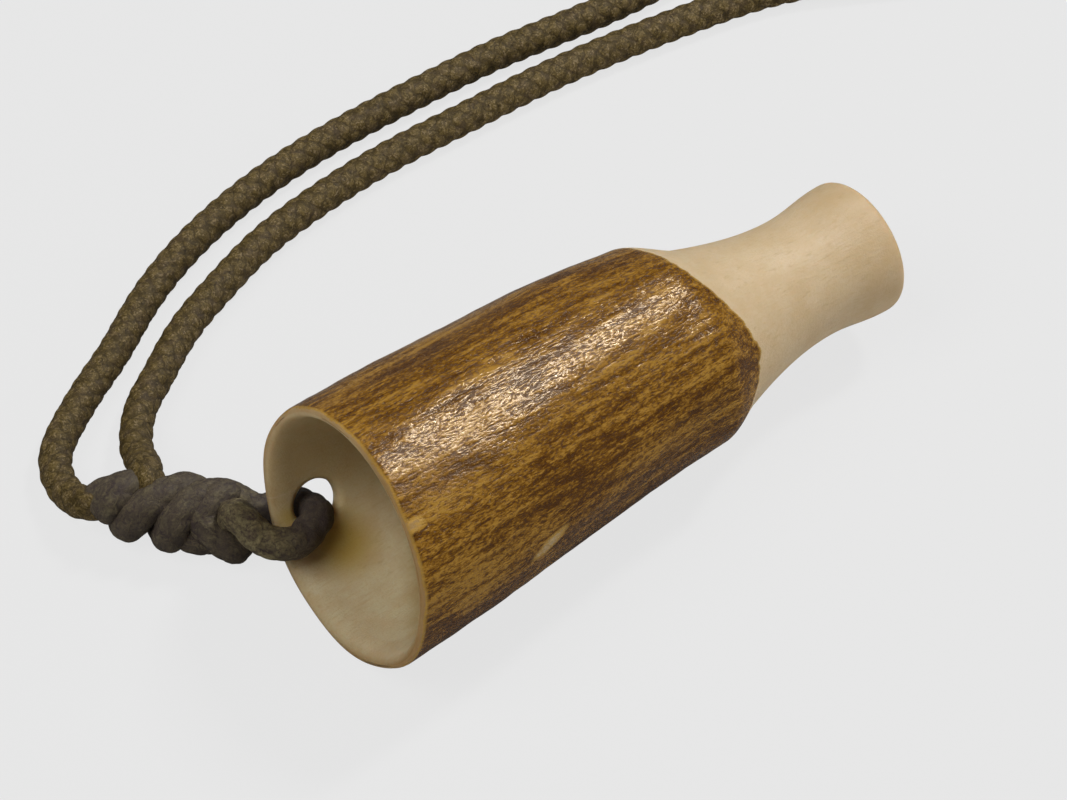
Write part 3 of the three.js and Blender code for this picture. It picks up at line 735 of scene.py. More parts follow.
def rough(turn, along, cells, cell_length, seed):
    """Smooth noise from -1 to 1: random heights at the knots of a net, mixed by 3 t squared - 2 t cubed."""
    heights = np.random.default_rng(seed).uniform(-1, 1, (cells, 512))
    column = (turn % 1) * cells
    row = np.maximum(along / cell_length + 8, 0)
    left = np.floor(column).astype(int) % cells
    low = np.floor(row).astype(int)
    right_share = smoothstep(column % 1, 0, 1)
    high_share = smoothstep(row % 1, 0, 1)
    right = (left + 1) % cells
    near = heights[left, low] * (1 - right_share) + heights[right, low] * right_share
    far = heights[left, low + 1] * (1 - right_share) + heights[right, low + 1] * right_share
    return near * (1 - high_share) + far * high_share


def bark_line(angle):
    """Where the bark ends along the axis: a middle place, three slow waves round it and a small tremble."""
    slow = BARK_MIDDLE + 1.05 * np.cos(angle - np.radians(173)) - 1.35 * np.sin(2 * angle)
    slow = slow + 0.65 * np.cos(3 * angle - np.radians(117))
    turn = angle / (2 * np.pi)
    return slow + 0.18 * rough(turn, 0, 40, 1, 4) + 0.12 * rough(turn, 0, 110, 1, 5)


def chip_distance(along, angle, middle, slant, half_length, half_width):
    """Distance outside a slanting oval chip: its normalised radius less one, times its half width. The
    chip's middle is a place along the axis and degrees round it."""
    over = along - middle[0]
    turned = (angle - np.radians(middle[1]) + np.pi) % (2 * np.pi) - np.pi
    round_by = turned * CHIP_ARM - slant * over
    return (np.hypot(over / half_length, round_by / half_width) - 1) * half_width


# %% How far each point lies inside the bark
BARK_FREE = 3.0

turn = net_angle / (2 * np.pi)
rim_edge = 0.1 + 0.08 * rough(turn, 0, 60, 1, 6)
inside_bark = np.minimum(net_along - rim_edge, bark_line(net_angle) - net_along)
ragged = 0.1 * rough(turn, net_along, 110, 0.7, 7)
barrel_chip = chip_distance(net_along, net_angle, (13.8, 177.6), -0.3, 1.5, 0.52) + ragged
rim_chip = chip_distance(net_along, net_angle, (0.6, 133), 0.0, 0.8, 0.35) + ragged
inside_bark = np.minimum(inside_bark, np.maximum(0.0, np.minimum(barrel_chip, rim_chip)))
off_bark = np.minimum(BARK_FREE, 0.1 + BELL_RADIUS - net_radius + np.maximum(0, net_along))
inside_bark = np.where(is_outside[:, None], inside_bark, -off_bark)
print("bark covers", round(100 * float((inside_bark[is_outside] > 0).mean())), "% of the outside rows")

# %% Antler points
BOW_HEIGHT = 0.62
BOW_ANGLE = math.radians(34)
SWERVE = 0.34
NECK_SAG = 0.17
RIDGES = 7
RIDGE_TWIST = 0.03
RIDGE_HEIGHT = 0.09
SKIN_GROWS = 2.5
CUT_SLOPE = math.tan(math.radians(6.5))
CUT_ANGLE = math.radians(63)
CUT_DEPTH = 15.0
RIM_REACH = 0.35
RELIEF = [(0.08, 11, 9, 11), (0.05, 30, 5, 12), (0.03, 72, 2.2, 13), (0.02, 130, 0.9, 14)]

bark_share = 1 - smoothstep(net_along, BARREL_END, BARK_END)
ridges = np.cos(RIDGES * (net_angle + RIDGE_TWIST * net_along)) + np.cos(2 * net_angle + 1)
bark_skin = smoothstep(inside_bark, 0, SKIN_GROWS)
relief = sum(height * rough(turn, net_along, *cell) for height, *cell in RELIEF)
grown = net_radius + is_outside[:, None] * (bark_share * RIDGE_HEIGHT * ridges + bark_skin * relief)
bow_phase = np.pi * np.clip(net_along / BARK_END, 0, 1)
bow = BOW_HEIGHT * np.sin(bow_phase) - NECK_SAG * smoothstep(net_along, BARK_END, LIP_START)
bow = bow * is_outside[:, None]
swerve = SWERVE * np.sin(2 * bow_phase) * is_outside[:, None]
antler_side = grown * np.cos(net_angle) + bow * math.cos(BOW_ANGLE) - swerve
antler_above = grown * np.sin(net_angle) + bow * math.sin(BOW_ANGLE)
cut_across = antler_side * math.cos(CUT_ANGLE) + antler_above * math.sin(CUT_ANGLE)
cut_fade = np.maximum(0, 1 - np.maximum(0, net_along) / CUT_DEPTH) ** 2
antler_along = net_along + (CUT_SLOPE * cut_across - RIM_REACH) * cut_fade
antler_points = in_call(antler_along, antler_side, antler_above).reshape(-1, 3)
print("lowest point of the antler, mm:", round(antler_points[:, 2].min() / MM, 2))


# %% Wall of the cord hole
def hole_circle(ring, direction):
    """Numbers of the net's points on the hole's circle, in order round it."""
    numbers = np.flatnonzero(ring.ravel() == HOLE_RING)
    return numbers[np.argsort(direction.ravel()[numbers])]


def hole_wall(circle_points, inwards):
    """Rows that round the hole's edge over: the circle shrinks by 1 - sin while it sinks by 1 - cos."""
    out = (circle_points - rim_centre) @ hole_out
    flat = circle_points - out[:, None] * hole_out
    middle = flat.mean(0)
    bend = np.radians([30, 60, 90])[:, None, None]
    narrowed = (HOLE_RADIUS + HOLE_ROUND * (1 - np.sin(bend))) / (HOLE_RADIUS + HOLE_ROUND)
    sunk = inwards * MM * HOLE_ROUND * (1 - np.cos(bend))
    return middle + narrowed * (flat - middle) + (out[None, :, None] - sunk) * hole_out


outer_circle = hole_circle(outer_ring, outer_direction)
inner_circle = hole_circle(inner_ring, inner_direction)
outer_wall = hole_wall(antler_points[outer_circle], 1)
inner_wall = hole_wall(antler_points[inner_circle], -1)[::-1]
wall_points = np.concatenate([outer_wall, (outer_wall[-1:] + inner_wall[:1]) / 2, inner_wall])
print("hole wall of", wall_points.shape[0], "rows and", wall_points.shape[1], "columns")

# %% Antler faces and piece
faces = net_faces(len(outline), COLUMNS, ring_of_rows=True)
cut_out = np.minimum(outer_ring, inner_ring).ravel()
faces = faces[cut_out[faces].max(axis=1) > HOLE_RING]
wall_numbers = len(antler_points) + np.arange(wall_points.shape[0] * wall_points.shape[1])
wall_rows = np.vstack([outer_circle, wall_numbers.reshape(wall_points.shape[:2]), inner_circle])
next_column = np.roll(wall_rows, -1, axis=1)
wall_faces = np.stack([wall_rows[:-1], wall_rows[1:], next_column[1:], next_column[:-1]], -1).reshape(-1, 4)
faces = np.vstack([faces, wall_faces])
antler_points = np.vstack([antler_points, wall_points.reshape(-1, 3)])
bark_value = np.concatenate([inside_bark.ravel(), np.full(len(wall_numbers), -BARK_FREE)])
used, faces = np.unique(faces, return_inverse=True)
antler = add_piece("antler", antler_points[used], faces.reshape(-1, 4), "call")
store_value(antler, "bark", bark_value[used])
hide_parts("antler_body")

# %% [markdown]
# ## Finishes
#
# A finish is a small network of shader nodes. Wiring dozens of nodes by hand hides what they compute, so
# one class wraps a socket and lets Python's arithmetic add the Math nodes: `1-mask` is one node and
# `a*b+c` two. A second class holds the material and adds any other node from its type, its settings and
# its inputs.

# %% Sockets that calculate
class Value:
    """A socket of a finish. Arithmetic with it adds Math nodes and gives the socket of the result."""

    def __init__(self, finish, socket):
        self.finish = finish
        self.socket = socket

    def output(self, name):
        """Another output of the same node."""
        return Value(self.finish, self.socket.node.outputs[name])

    def _math(self, operation, first, second=0.0):
        """The result of one Math node."""
        return self.finish.add("Math", {"operation": operation}, {0: first, 1: second})

    def __add__(self, other):
        return self._math("ADD", self, other)

    def __sub__(self, other):
        return self._math("SUBTRACT", self, other)

    def __rsub__(self, other):
        return self._math("SUBTRACT", other, self)

    def __mul__(self, other):
        return self._math("MULTIPLY", self, other)

    def __mod__(self, other):
        return self._math("FLOORED_MODULO", self, other)

    def __pow__(self, other):
        return self._math("POWER", self, other)

    __radd__ = __add__
    __rmul__ = __mul__

    def floor(self):
        """The whole number below."""
        return self._math("FLOOR", self)

    def cosine(self):
        """The cosine of an angle in radians."""
        return self._math("COSINE", self)

    def absolute(self):
        """The size without the sign."""
        return self._math("ABSOLUTE", self)

    def ease(self, low, high):
        """0 at low, 1 at high, eased between them; low may be the larger one."""
        return self.finish.add("MapRange", {"interpolation_type": "SMOOTHSTEP"},
                               {"Value": self, "From Min": low, "From Max": high})

    def choose(self, if_zero, if_one):
        """if_zero where this is 0 and if_one where it is 1, for values."""
        return self * if_one + (1 - self) * if_zero


# %% Materials that hold the sockets
class Finish:
    """One material with a Principled shader."""

    def __init__(self, name):
        self.material = bpy.data.materials.new(name)
        self.material.use_nodes = True
        self.tree = self.material.node_tree
        self.shader = self.tree.nodes["Principled BSDF"]

    def add(self, kind, settings, inputs, output=0):
        """A node of that kind: its settings are set first, then its inputs get numbers or links."""
        node = self.tree.nodes.new("ShaderNode" + kind)
        for name, value in settings.items():
            if name == "stops":
                self.set_stops(node.color_ramp, value)
            else:
                setattr(node, name, value)
        for key, value in inputs.items():
            self.feed(node.inputs[key], value)
        return Value(self, node.outputs[output])

    def feed(self, socket, value):
        """Links a socket to a Value, or sets it to a number."""
        if isinstance(value, Value):
            self.tree.links.new(value.socket, socket)
        else:
            socket.default_value = value

    def set_stops(self, ramp, stops):
        """Gives a colour ramp its places and colours."""
        while len(ramp.elements) < len(stops):
            ramp.elements.new(1.0)
        for element, (place, colour) in zip(ramp.elements, stops):
            element.position = place
            element.color = (*colour, 1)

    def call_place(self, stretch=(1, 1, 1)):
        """Object coordinates in millimetres along, beside and above the axis, each times its stretch."""
        place = self.add("TexCoord", {}, {}, "Object")
        lean = math.atan2(-axis_along[2], axis_along[0])
        scale = [MM / s for s in stretch]
        return self.add("Mapping", {"vector_type": "TEXTURE"},
                        {"Vector": place, "Location": rim_centre, "Rotation": (0, lean, 0), "Scale": scale})

    def noise(self, place, scale, detail=3.0, roughness=0.5):
        """Cloudy noise from 0 to 1 with scale features a unit of the place."""
        return self.add("TexNoise", {}, {"Vector": place, "Scale": scale, "Detail": detail,
                                         "Roughness": roughness})

    def mix(self, share, first, second):
        """The first colour where the share is 0 and the second where it is 1."""
        colours = [(*c, 1) if isinstance(c, tuple) else c for c in (first, second)]
        return self.add("Mix", {"data_type": "RGBA"}, {0: share, 6: colours[0], 7: colours[1]}, 2)

    def layer(self, colour, *layers):
        """A colour with others laid over it in turn, each given as its share and its colour."""
        for share, over in layers:
            colour = self.mix(share, colour, over)
        return colour

    def bump(self, height, distance):
        """A normal tilted as if the surface rose by the height times a distance in millimetres."""
        return self.add("Bump", {}, {"Height": height, "Distance": distance * MM})

    def shade(self, **inputs):
        """Feeds the shader. Words joined by _ name its sockets."""
        for name, value in inputs.items():
            self.feed(self.shader.inputs[name.replace("_", " ")], value)

    def surface(self):
        """The shader's own output."""
        return Value(self, self.shader.outputs[0])

    def show(self, surface):
        """Makes a shader the surface of the material."""
        self.feed(self.tree.nodes["Material Output"].inputs["Surface"], surface)

    def paint(self, *objects):
        """Makes this the one material of the objects."""
        for piece in objects:
            piece.data.materials.clear()
            piece.data.materials.append(self.material)
        names = [piece.name for piece in objects]
        print("finish", self.material.name, "with", len(self.tree.nodes), "nodes on", names)


# %% [markdown]
# ## Antler finish
#
# Two skins meet on the antler. Two materials could share it out, but their border would follow the
# faces, so one finish mixes two shaders by the stored distance inside the bark. The bark is brown with
# golden and dark streaks along the barrel, pitted, with painted shade darkening its underside, and
# polished by hands so that its tops shine. The core is ivory: cream, faintly mottled and lined along the
# grain, and a little tanned at the lip. The bell has a browner rim with painted shade on one side, a tan
# upper side that is partly painted shade, a painted shadow of the rim further in, two spots by the cord
# that are partly stains where it rubs and partly its painted shadow, and a hairline crack. The stored
# distance also dulls the core in the chips and draws the thin golden line along the bark's edge.

# %% Antler finish: bark
EDGE_GOLD = (0.5, 0.3, 0.07)
GOLDEN = (0.37, 0.195, 0.032)
BARK_TAN = (0.25, 0.118, 0.015)
BARK_BROWN = (0.16, 0.068, 0.007)
BARK_DARK = (0.075, 0.028, 0.005)
BARK_STOPS = [(0.3, BARK_DARK), (0.45, BARK_BROWN), (0.55, BARK_TAN), (0.7, GOLDEN)]

antler_finish = Finish("antler_bark_and_core")
core_place = antler_finish.call_place()
along = antler_finish.add("SeparateXYZ", {}, {"Vector": core_place})
beside = along.output("Y")
above = along.output("Z")
streak_place = antler_finish.call_place((0.1, 1, 1))
mottle_place = antler_finish.call_place((0.28, 1, 1))
grain_place = antler_finish.call_place((0.36, 1, 1))

streaks = antler_finish.noise(streak_place, 1.5, 3.0, 0.55)
mottles = antler_finish.noise(mottle_place, 2.7, 3.0, 0.6)
grain = antler_finish.noise(grain_place, 6.0, 3.0, 0.6)
patches = antler_finish.noise(mottle_place, 0.3, 2.0, 0.5)
pits = grain.ease(0.49, 0.36)
specks = grain.ease(0.56, 0.7)
# Painted shade: the bark is darkened towards its underside.
underside_shade = above.ease(2.0, -7.0)
tone = streaks * 0.85 + mottles * 0.6 + grain * 0.95 + patches * 0.7 - 1.065 - underside_shade * 0.26
bark_colour = antler_finish.add("ValToRGB", {"stops": BARK_STOPS}, {"Fac": tone})
bark_colour = antler_finish.layer(bark_colour, (pits * 0.5, BARK_DARK), (specks * 0.35, GOLDEN))

# %% Antler finish: where the core changes
clouds = antler_finish.noise(core_place, 0.4, 4.0, 0.6)
freckles = antler_finish.noise(mottle_place, 2.2, 3.0, 0.6)
lines = antler_finish.noise(streak_place, 4.5, 2.0, 0.5)
speckle = antler_finish.noise(core_place, 4.5, 3.0, 0.7)
bark_depth = antler_finish.add("Attribute", {"attribute_name": "bark"}, {}, "Fac")


def stain_and_cord_shadow(place, fades_at, full_at):
    """Share of a spot that is partly stain and partly painted shadow of the cord: 1 within full_at of its place
    and 0 past fades_at, with a cloudy edge.
    """
    away = antler_finish.add("VectorMath", {"operation": "DISTANCE"}, {0: core_place, 1: place}, "Value")
    return (away + clouds * 1.5).ease(fades_at, full_at)


by_bell = along.ease(33.0, 26.0)
by_lip = along.ease(53.0, 61.0)
# Browner rim: partly its own tint, partly painted shade that grows towards low beside.
rim_tint_and_shade = along.ease(6.0, 3.0) * bark_depth.ease(-2.2, -0.1) * (beside.ease(3.0, -6.0) * 0.42 + 0.55)
in_chip = along.ease(36.0, 30.0) * bark_depth.ease(-0.35, -0.05)
in_hollow = by_bell * bark_depth.ease(-0.5, -1.5)
# The bell's upper inner wall: partly a tan tint, partly painted shade.
upper_tan_and_shade = (beside * 0.68 + above * 0.73).ease(-4.0, 5.0) * in_hollow
# Painted shadow of the rim on the hollow's wall further in, with a cloudy edge.
hollow_shadow = (along - beside * 0.73 + clouds).ease(6.2, 10.5) * in_hollow
off_crack = (beside * 0.39 + above * 0.92 + along * 0.04 + lines * 0.15 - 0.15).absolute()
crack = off_crack.ease(0.09, 0.03) * along.ease(3.4, 2.8) * beside.ease(5.0, 7.0)

# %% Antler finish: core
IVORY = (0.615, 0.476, 0.298)
IVORY_WARM = (0.55, 0.395, 0.215)
IVORY_DEEP = (0.4, 0.26, 0.115)
BELL_IVORY = (0.64, 0.545, 0.34)
BELL_TAN_AND_SHADE = (0.44, 0.31, 0.13)
STAIN_AND_CORD_SHADOW = (0.46, 0.29, 0.03)
HOLLOW_SHADOW = (0.3, 0.2, 0.06)
RIM_BROWN_AND_SHADE = (0.25, 0.14, 0.035)
LIP_TAN = (0.46, 0.3, 0.13)

core_colour = antler_finish.layer(
    antler_finish.mix(by_bell, IVORY, BELL_IVORY),
    (clouds.ease(0.35, 0.7) * 0.6, IVORY_WARM),
    (lines.ease(0.5, 0.72) * 0.35, IVORY_WARM),
    (freckles.ease(0.56, 0.76) * 0.35, IVORY_DEEP),
    (speckle.ease(0.4, 0.75) * 0.4, IVORY_WARM),
    (by_lip * 0.25, LIP_TAN),
    # Two spots by the cord: partly stains where it rubs, partly its painted shadow.
    (stain_and_cord_shadow((4.4, 5.8, -9.2), 5.4, 1.4) * 0.78, STAIN_AND_CORD_SHADOW),
    (stain_and_cord_shadow((0.9, 9.1, -6.4), 2.6, 0.8) * 0.78, STAIN_AND_CORD_SHADOW),
    (rim_tint_and_shade, RIM_BROWN_AND_SHADE),
    (in_chip * 0.6, IVORY_DEEP),
    (upper_tan_and_shade * 0.6, BELL_TAN_AND_SHADE),
    (hollow_shadow * 0.8, HOLLOW_SHADOW),
    (crack * 0.35, IVORY),
)
core_height = clouds * 0.3 + lines * 0.3 + freckles * 0.4 + speckle * 0.4
core_shader = antler_finish.add("BsdfPrincipled", {}, {
    "Base Color": core_colour, "Roughness": 0.46 + clouds * 0.1, "Specular IOR Level": 0.2,
    "Subsurface Weight": 0.35, "Subsurface Radius": (1.0, 0.6, 0.35), "Subsurface Scale": 0.002,
    "Normal": antler_finish.bump(core_height, 0.1)})

# %% Antler finish: bark over core
torn_depth = bark_depth + (grain - 0.5) * 0.25
bark_mask = torn_depth.ease(-0.04, 0.06)
edge_line = torn_depth.ease(0.35, 0.05)
bark_colour = antler_finish.mix(edge_line * 0.75, bark_colour, EDGE_GOLD)
bark_height = grain * 0.75 + mottles * 0.8 + streaks * 1.7 - pits * 0.2
antler_finish.shade(Base_Color=bark_colour, Roughness=pits * 0.3 + 0.15, Specular_IOR_Level=0.25,
                    Specular_Tint=(1.0, 0.82, 0.6, 1), Normal=antler_finish.bump(bark_height, 0.05))
antler_skin = antler_finish.add("MixShader", {}, {0: bark_mask, 1: core_shader, 2: antler_finish.surface()})
antler_finish.show(antler_skin)
antler_finish.paint(antler)

# %% [markdown]
# ## Cord finish
#
# The yarns are olive brown, faded in patches, with painted straw glints, painted highlights, on their
# crowns. Plain noise would run across them, so the finish follows the braid's own UV map with the same
# two slanting counts as the skin: fibres run along whichever yarn is on top, each pick has a slightly
# different shade, and the gaps between yarns are darkened as painted shade. The tied end has been
# rubbed: stray fibres hide more of its yarns, and the stored painted shade darkens it.

# %% Cord finish
YARN_COLOURS = [(0.22, 0.155, 0.058), (0.108, 0.074, 0.023), (0.026, 0.017, 0.005)]
TIED_COLOURS = [(0.26, 0.22, 0.11), (0.135, 0.108, 0.056), (0.042, 0.03, 0.026)]
DUSTY = (0.09, 0.062, 0.044)
PAINTED_GLINT = (0.34, 0.25, 0.13)
PAINTED_SHADE_COLOUR = (0.05, 0.038, 0.039)


def braid_finish(name, colours, fuzz):
    """A braided yarn finish in a light, a middle and a dark colour; fuzz is how far stray fibres, combed
    along the cord, hide the yarns, from 0 to 1."""
    light, middle, dark = colours
    finish = Finish(name)
    place = finish.call_place()
    drift = finish.noise(place, 0.8, 2.0, 0.5) - 0.5
    wander = finish.noise(place, 1.1, 2.0, 0.5) - 0.5
    parts = finish.add("SeparateXYZ", {}, {"Vector": finish.add("UVMap", {"uv_map": "braid"}, {})})
    turns = parts * YARNS_EACH_WAY + drift * (0.35 + fuzz)
    picks = parts.output("Y") + wander * (0.35 + fuzz)
    one_way = turns - picks
    other_way = turns + picks
    on_top = (one_way.floor() + other_way.floor()) % 2.0
    across = on_top.choose(one_way, other_way) % 1.0 - 0.5
    lengthwise = on_top.choose(other_way, one_way) % 1.0 - 0.5
    side = (across * math.pi).cosine().absolute() ** SIDE_POWER
    crown = side * (lengthwise * math.pi).cosine().absolute() ** DIVE_POWER
    yarn_number = on_top.choose(one_way.floor(), other_way.floor()) + on_top * 31.0
    pick_number = on_top.choose(other_way.floor(), one_way.floor())
    fibre_place = finish.add("CombineXYZ", {}, {"X": across * 6.0 + yarn_number * 5.3,
                                                "Y": lengthwise * 1.6 + pick_number * 3.1, "Z": 0.0})
    fibres = finish.noise(fibre_place, 1.6, 3.0, 0.65)
    combed_place = finish.add("CombineXYZ", {}, {"X": turns * 3.2 + picks * 0.9, "Y": picks * 1.1,
                                                 "Z": drift * 3.0})
    combed = finish.noise(combed_place, 1.5, 4.0, 0.7)
    loose = finish.noise(place, 4.5, 3.0, 0.75)
    stray = combed * fuzz + loose * (1.0 - fuzz)
    tone = fibres * (0.9 - 0.6 * fuzz) + stray * (0.75 + 0.5 * fuzz) - 0.31
    colour = finish.add("ValToRGB", {"stops": [(0.3, dark), (0.5, middle), (0.72, light)]}, {"Fac": tone})
    # Painted shade in the gaps between yarns.
    gap = crown.ease(0.75, 0.2) * (0.85 - 0.7 * fuzz)
    faded = finish.noise(place, 0.9, 3.0, 0.6).ease(0.45, 0.68)
    # Painted highlights: straw glints on the yarn crowns.
    painted_glint = finish.noise(place, 4.0, 1.0, 0.6).ease(0.58, 0.67) * crown
    # Painted shade stored on the knot's points darkens the yarn.
    soiled = finish.add("Attribute", {"attribute_name": "soiled"}, {}, "Fac")
    colour = finish.layer(colour, (gap, dark), (faded * 0.3, DUSTY), (painted_glint * (0.9 - 0.8 * fuzz), PAINTED_GLINT),
                          (soiled * 0.5, PAINTED_SHADE_COLOUR))
    height = crown * (0.5 - 0.4 * fuzz) + fibres * 0.4 + stray * (0.5 + 0.3 * fuzz)
    finish.shade(Base_Color=colour, Roughness=0.55 + fibres * 0.2, Specular_IOR_Level=0.15,
                 Normal=finish.bump(height, 0.16))
    return finish


braid_finish("braided_yarn", YARN_COLOURS, 0.45).paint(neck_cord)
braid_finish("tied_yarn", TIED_COLOURS, 0.8).paint(knot)

# %% [markdown]
# ## Tie finish
#
# The tape is a plain dark weave: threads along it and across it take turns on top. Single threads would
# be too many faces for so small a piece, so cosine waves across and along the tie give that checker at
# the right size, in the tie's own directions.

# %% Tie finish
TAPE_THREAD = 0.4
TAPE_DARK = (0.012, 0.012, 0.011)
TAPE_LIGHT = (0.07, 0.068, 0.06)

tape_finish = Finish("woven_tape")
tape_place = tape_finish.add("TexCoord", {}, {}, "Object")
tape_place = tape_finish.add("Mapping", {"vector_type": "TEXTURE"},
                             {"Vector": tape_place, "Location": by_floor((*COIL_CENTRE, 0.0)),
                              "Rotation": (0, 0, TIE_ANGLE), "Scale": (MM, MM, MM)})
tape_parts = tape_finish.add("SeparateXYZ", {}, {"Vector": tape_place})
along_tape = ((tape_parts + tape_parts.output("Z")) * (math.pi / TAPE_THREAD)).cosine()
across_tape = (tape_parts.output("Y") * (math.pi / TAPE_THREAD)).cosine()
weave = along_tape * across_tape * 0.5 + 0.5
lint = tape_finish.noise(tape_place, 3.0, 4.0, 0.6)
tape_colour = tape_finish.mix(weave * 0.5 + lint * 0.4, TAPE_DARK, TAPE_LIGHT)
tape_finish.shade(Base_Color=tape_colour, Roughness=0.7 + lint * 0.2,
                  Normal=tape_finish.bump(weave + lint, 0.08))
tape_finish.paint(tie)

# %% [markdown]
# ## Reed voice finishes
#
# The voice sits deep in the mouthpiece and is drawn out to be cleaned. Its bush is cork, with a fine
# grain and dark pores. The shallot is a drawn brass tube with faint lines along it, and the tongue is
# the same brass, filed bright. The binding is waxed thread wound round both. Their solids have the right
# shapes, so they keep them and only get finishes.

# %% Cork
CORK_TAN = (0.42, 0.25, 0.12)
CORK_PALE = (0.66, 0.47, 0.29)
CORK_BROWN = (0.3, 0.16, 0.07)
CORK_PORE = (0.12, 0.06, 0.025)

cork_finish = Finish("reed_cork")
cork_place = cork_finish.call_place()
cells = cork_finish.add("TexVoronoi", {"feature": "F1"}, {"Vector": cork_place, "Scale": 3.2}, "Distance")
cork_cloud = cork_finish.noise(cork_place, 1.2, 4.0, 0.6)
pores = cork_finish.noise(cork_finish.call_place((0.4, 1, 1)), 1.8, 3.0, 0.6).ease(0.6, 0.7)
cork_colour = cork_finish.layer(
    cork_finish.mix(cork_cloud, CORK_TAN, CORK_PALE),
    (cells.ease(0.3, 0.9) * 0.35, CORK_BROWN),
    (pores * 0.8, CORK_PORE),
)
cork_finish.shade(Base_Color=cork_colour, Roughness=0.75 + cork_cloud * 0.15,
                  Normal=cork_finish.bump(cork_cloud * 0.5 - pores + cells * 0.4, 0.15))
cork_finish.paint(frame["nodes"]["reed_bush"])


# %% Brass
def brass_finish(name, bright, dull, lines_across):
    """Brass with fine tool lines and a cloud of tarnish that darkens it and roughens it."""
    finish = Finish(name)
    lines = finish.noise(finish.call_place(lines_across), 6.0, 2.0, 0.5)
    tarnish = finish.noise(finish.call_place(), 0.7, 4.0, 0.6).ease(0.4, 0.75)
    colour = finish.mix(tarnish, bright, dull)
    finish.shade(Base_Color=colour, Metallic=1.0, Roughness=0.22 + lines * 0.14 + tarnish * 0.2,
                 Normal=finish.bump(lines, 0.015))
    return finish


drawn_brass = brass_finish("drawn_brass", (0.78, 0.57, 0.24), (0.5, 0.33, 0.13), (0.06, 1, 1))
drawn_brass.paint(frame["nodes"]["reed_shallot"])
filed_brass = brass_finish("filed_brass", (0.86, 0.66, 0.3), (0.62, 0.43, 0.17), (1, 0.1, 1))
filed_brass.paint(frame["nodes"]["reed_tongue"])

# %% Thread
THREAD_PITCH = 0.32
THREAD_DARK = (0.1, 0.022, 0.014)
THREAD_RED = (0.44, 0.13, 0.085)

thread_finish = Finish("waxed_thread")
thread_place = thread_finish.call_place()
thread_parts = thread_finish.add("SeparateXYZ", {}, {"Vector": thread_place})
winding = (thread_parts * (math.pi / THREAD_PITCH)).cosine().absolute()
wax = thread_finish.noise(thread_place, 5.0, 3.0, 0.6)
thread_colour = thread_finish.mix(winding * 0.7 + wax * 0.3, THREAD_DARK, THREAD_RED)
thread_finish.shade(Base_Color=thread_colour, Roughness=0.45 + wax * 0.2,
                    Normal=thread_finish.bump(winding + wax * 0.3, 0.1))
thread_finish.paint(frame["nodes"]["reed_binding"])

# %% [markdown]
# ## Floor and light
#
# The photograph was cut out on a plain pale grey. The floor and the world take that grey for the camera,
# and the floor a little of it in reflections, while the floor keeps a share of its own shading, so the
# object's shadow stays. For the light that it throws back on the call, the floor is paler. The shine
# along the barrel tells where the main light stood: high on the mouthpiece side. A small lamp there
# lights the call, and a second one at the same place shows only in reflections, so that the shine is set
# apart from the light. Two broad soft lamps, which don't show in reflections, fill the bell and the side
# of the neck.

# %% Floor
BACKGROUND = (0.99, 0.99, 0.99, 1)
FLOOR_HALF = 3.0
FLOOR_GREY = (0.22, 0.22, 0.22)
FLOOR_BOUNCE = (0.7, 0.7, 0.7)
PLAIN_SEEN = 0.75
PLAIN_MIRRORED = 0.05

floor_mesh = bpy.data.meshes.new("studio_floor")
floor_corners = FLOOR_HALF * np.array([(-1, -1, 0), (1, -1, 0), (1, 1, 0), (-1, 1, 0)])
floor_mesh.from_pydata(floor_corners, [], [(0, 1, 2, 3)])
floor = bpy.data.objects.new("studio_floor", floor_mesh)
bpy.context.scene.collection.objects.link(floor)

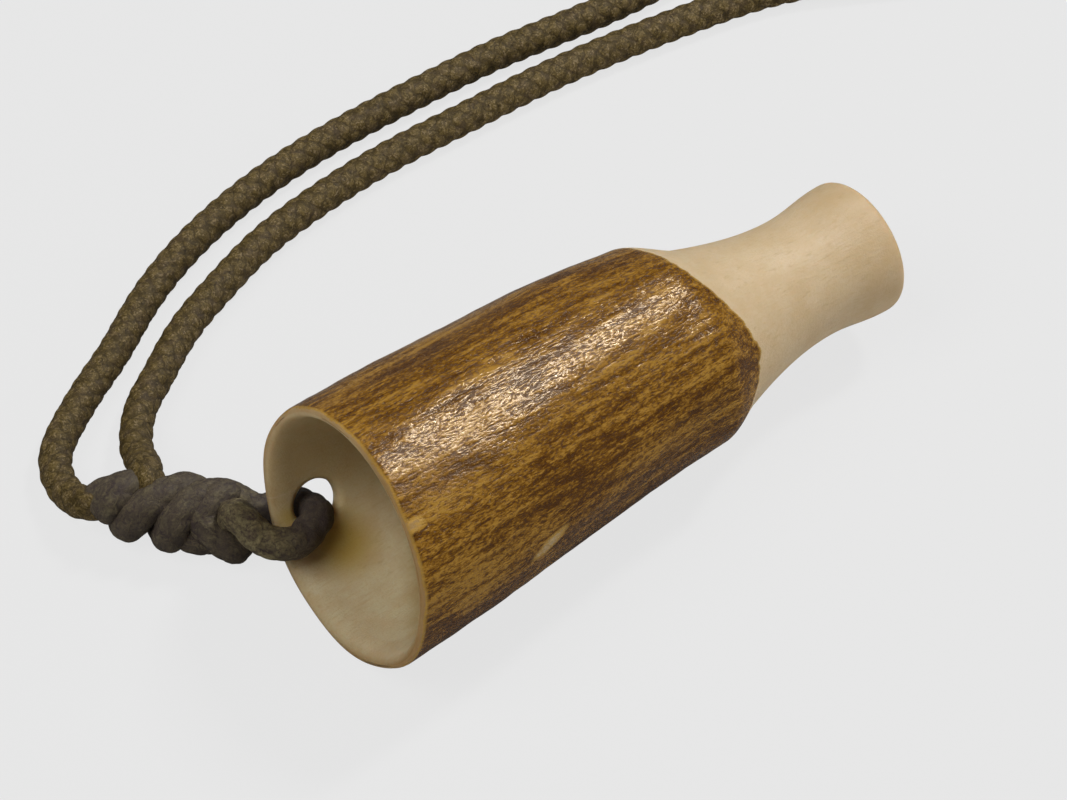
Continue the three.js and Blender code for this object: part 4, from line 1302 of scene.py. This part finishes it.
floor_finish = Finish("pale_floor")
seen = floor_finish.add("LightPath", {}, {}, "Is Camera Ray")
floor_grey = floor_finish.mix(seen.output("Is Diffuse Ray"), FLOOR_GREY, FLOOR_BOUNCE)
floor_finish.shade(Base_Color=floor_grey, Roughness=0.9, Specular_IOR_Level=0.0)
mirrored = seen.output("Is Glossy Ray") + seen.output("Is Transmission Ray")
plain_share = seen * PLAIN_SEEN + mirrored * PLAIN_MIRRORED
plain = floor_finish.add("Emission", {}, {"Color": BACKGROUND})
mixed = floor_finish.add("MixShader", {}, {0: plain_share, 1: floor_finish.surface(), 2: plain})
floor_finish.show(mixed)
floor_finish.paint(floor)

# %% World
WORLD_LIGHT = 0.05

world = bpy.data.worlds.new("studio")
bpy.context.scene.world = world
world.use_nodes = True
world_nodes = world.node_tree.nodes
background = world_nodes["Background"]
background.inputs["Color"].default_value = BACKGROUND
world_path = world_nodes.new("ShaderNodeLightPath")
world_level = world_nodes.new("ShaderNodeMapRange")
world_level.inputs["To Min"].default_value = WORLD_LIGHT
world.node_tree.links.new(world_path.outputs["Is Camera Ray"], world_level.inputs["Value"])
world.node_tree.links.new(world_level.outputs["Result"], background.inputs["Strength"])
print("world lights with", WORLD_LIGHT, "of the grey that the camera sees")

# %% Lamps
MAIN_DIRECTION = (0.58, 0.05, 0.81)
BELL_DIRECTION = (-0.55, 0.1, 0.82)
NECK_DIRECTION = (0.6, -0.75, 0.25)
SOFT_SIZE = (0.5, 0.5)


def add_lamp(name, direction, distance, size, power, lighting=True, mirrored=True):
    """A lamp of some width and height, at a distance from the call along a direction, turned to face it.
    Without lighting it shows only in reflections, and without mirrored it doesn't show there."""
    lamp_data = bpy.data.lights.new(name, "AREA")
    lamp_data.shape = "RECTANGLE"
    lamp_data.size, lamp_data.size_y = size
    lamp_data.energy = power
    lamp = bpy.data.objects.new(name, lamp_data)
    back = unit(np.array(direction, float))
    right = unit(np.cross([0, 0, 1], back))
    place = back * distance
    lamp.matrix_world = standing(right, np.cross(back, right), back, place)
    bpy.context.scene.collection.objects.link(lamp)
    lamp.visible_glossy = mirrored
    lamp.visible_diffuse = lighting
    print(name, "at", np.round(place, 2), "with", power, "W")


add_lamp("main_lamp", MAIN_DIRECTION, 0.7, (0.08, 0.15), 2.9)
add_lamp("shine_lamp", MAIN_DIRECTION, 0.7, (0.06, 0.12), 4.4, lighting=False)
add_lamp("bell_lamp", BELL_DIRECTION, 0.8, SOFT_SIZE, 3.5, mirrored=False)
add_lamp("neck_lamp", NECK_DIRECTION, 0.8, SOFT_SIZE, 1.8, mirrored=False)
bpy.context.scene.view_settings.view_transform = "Standard"
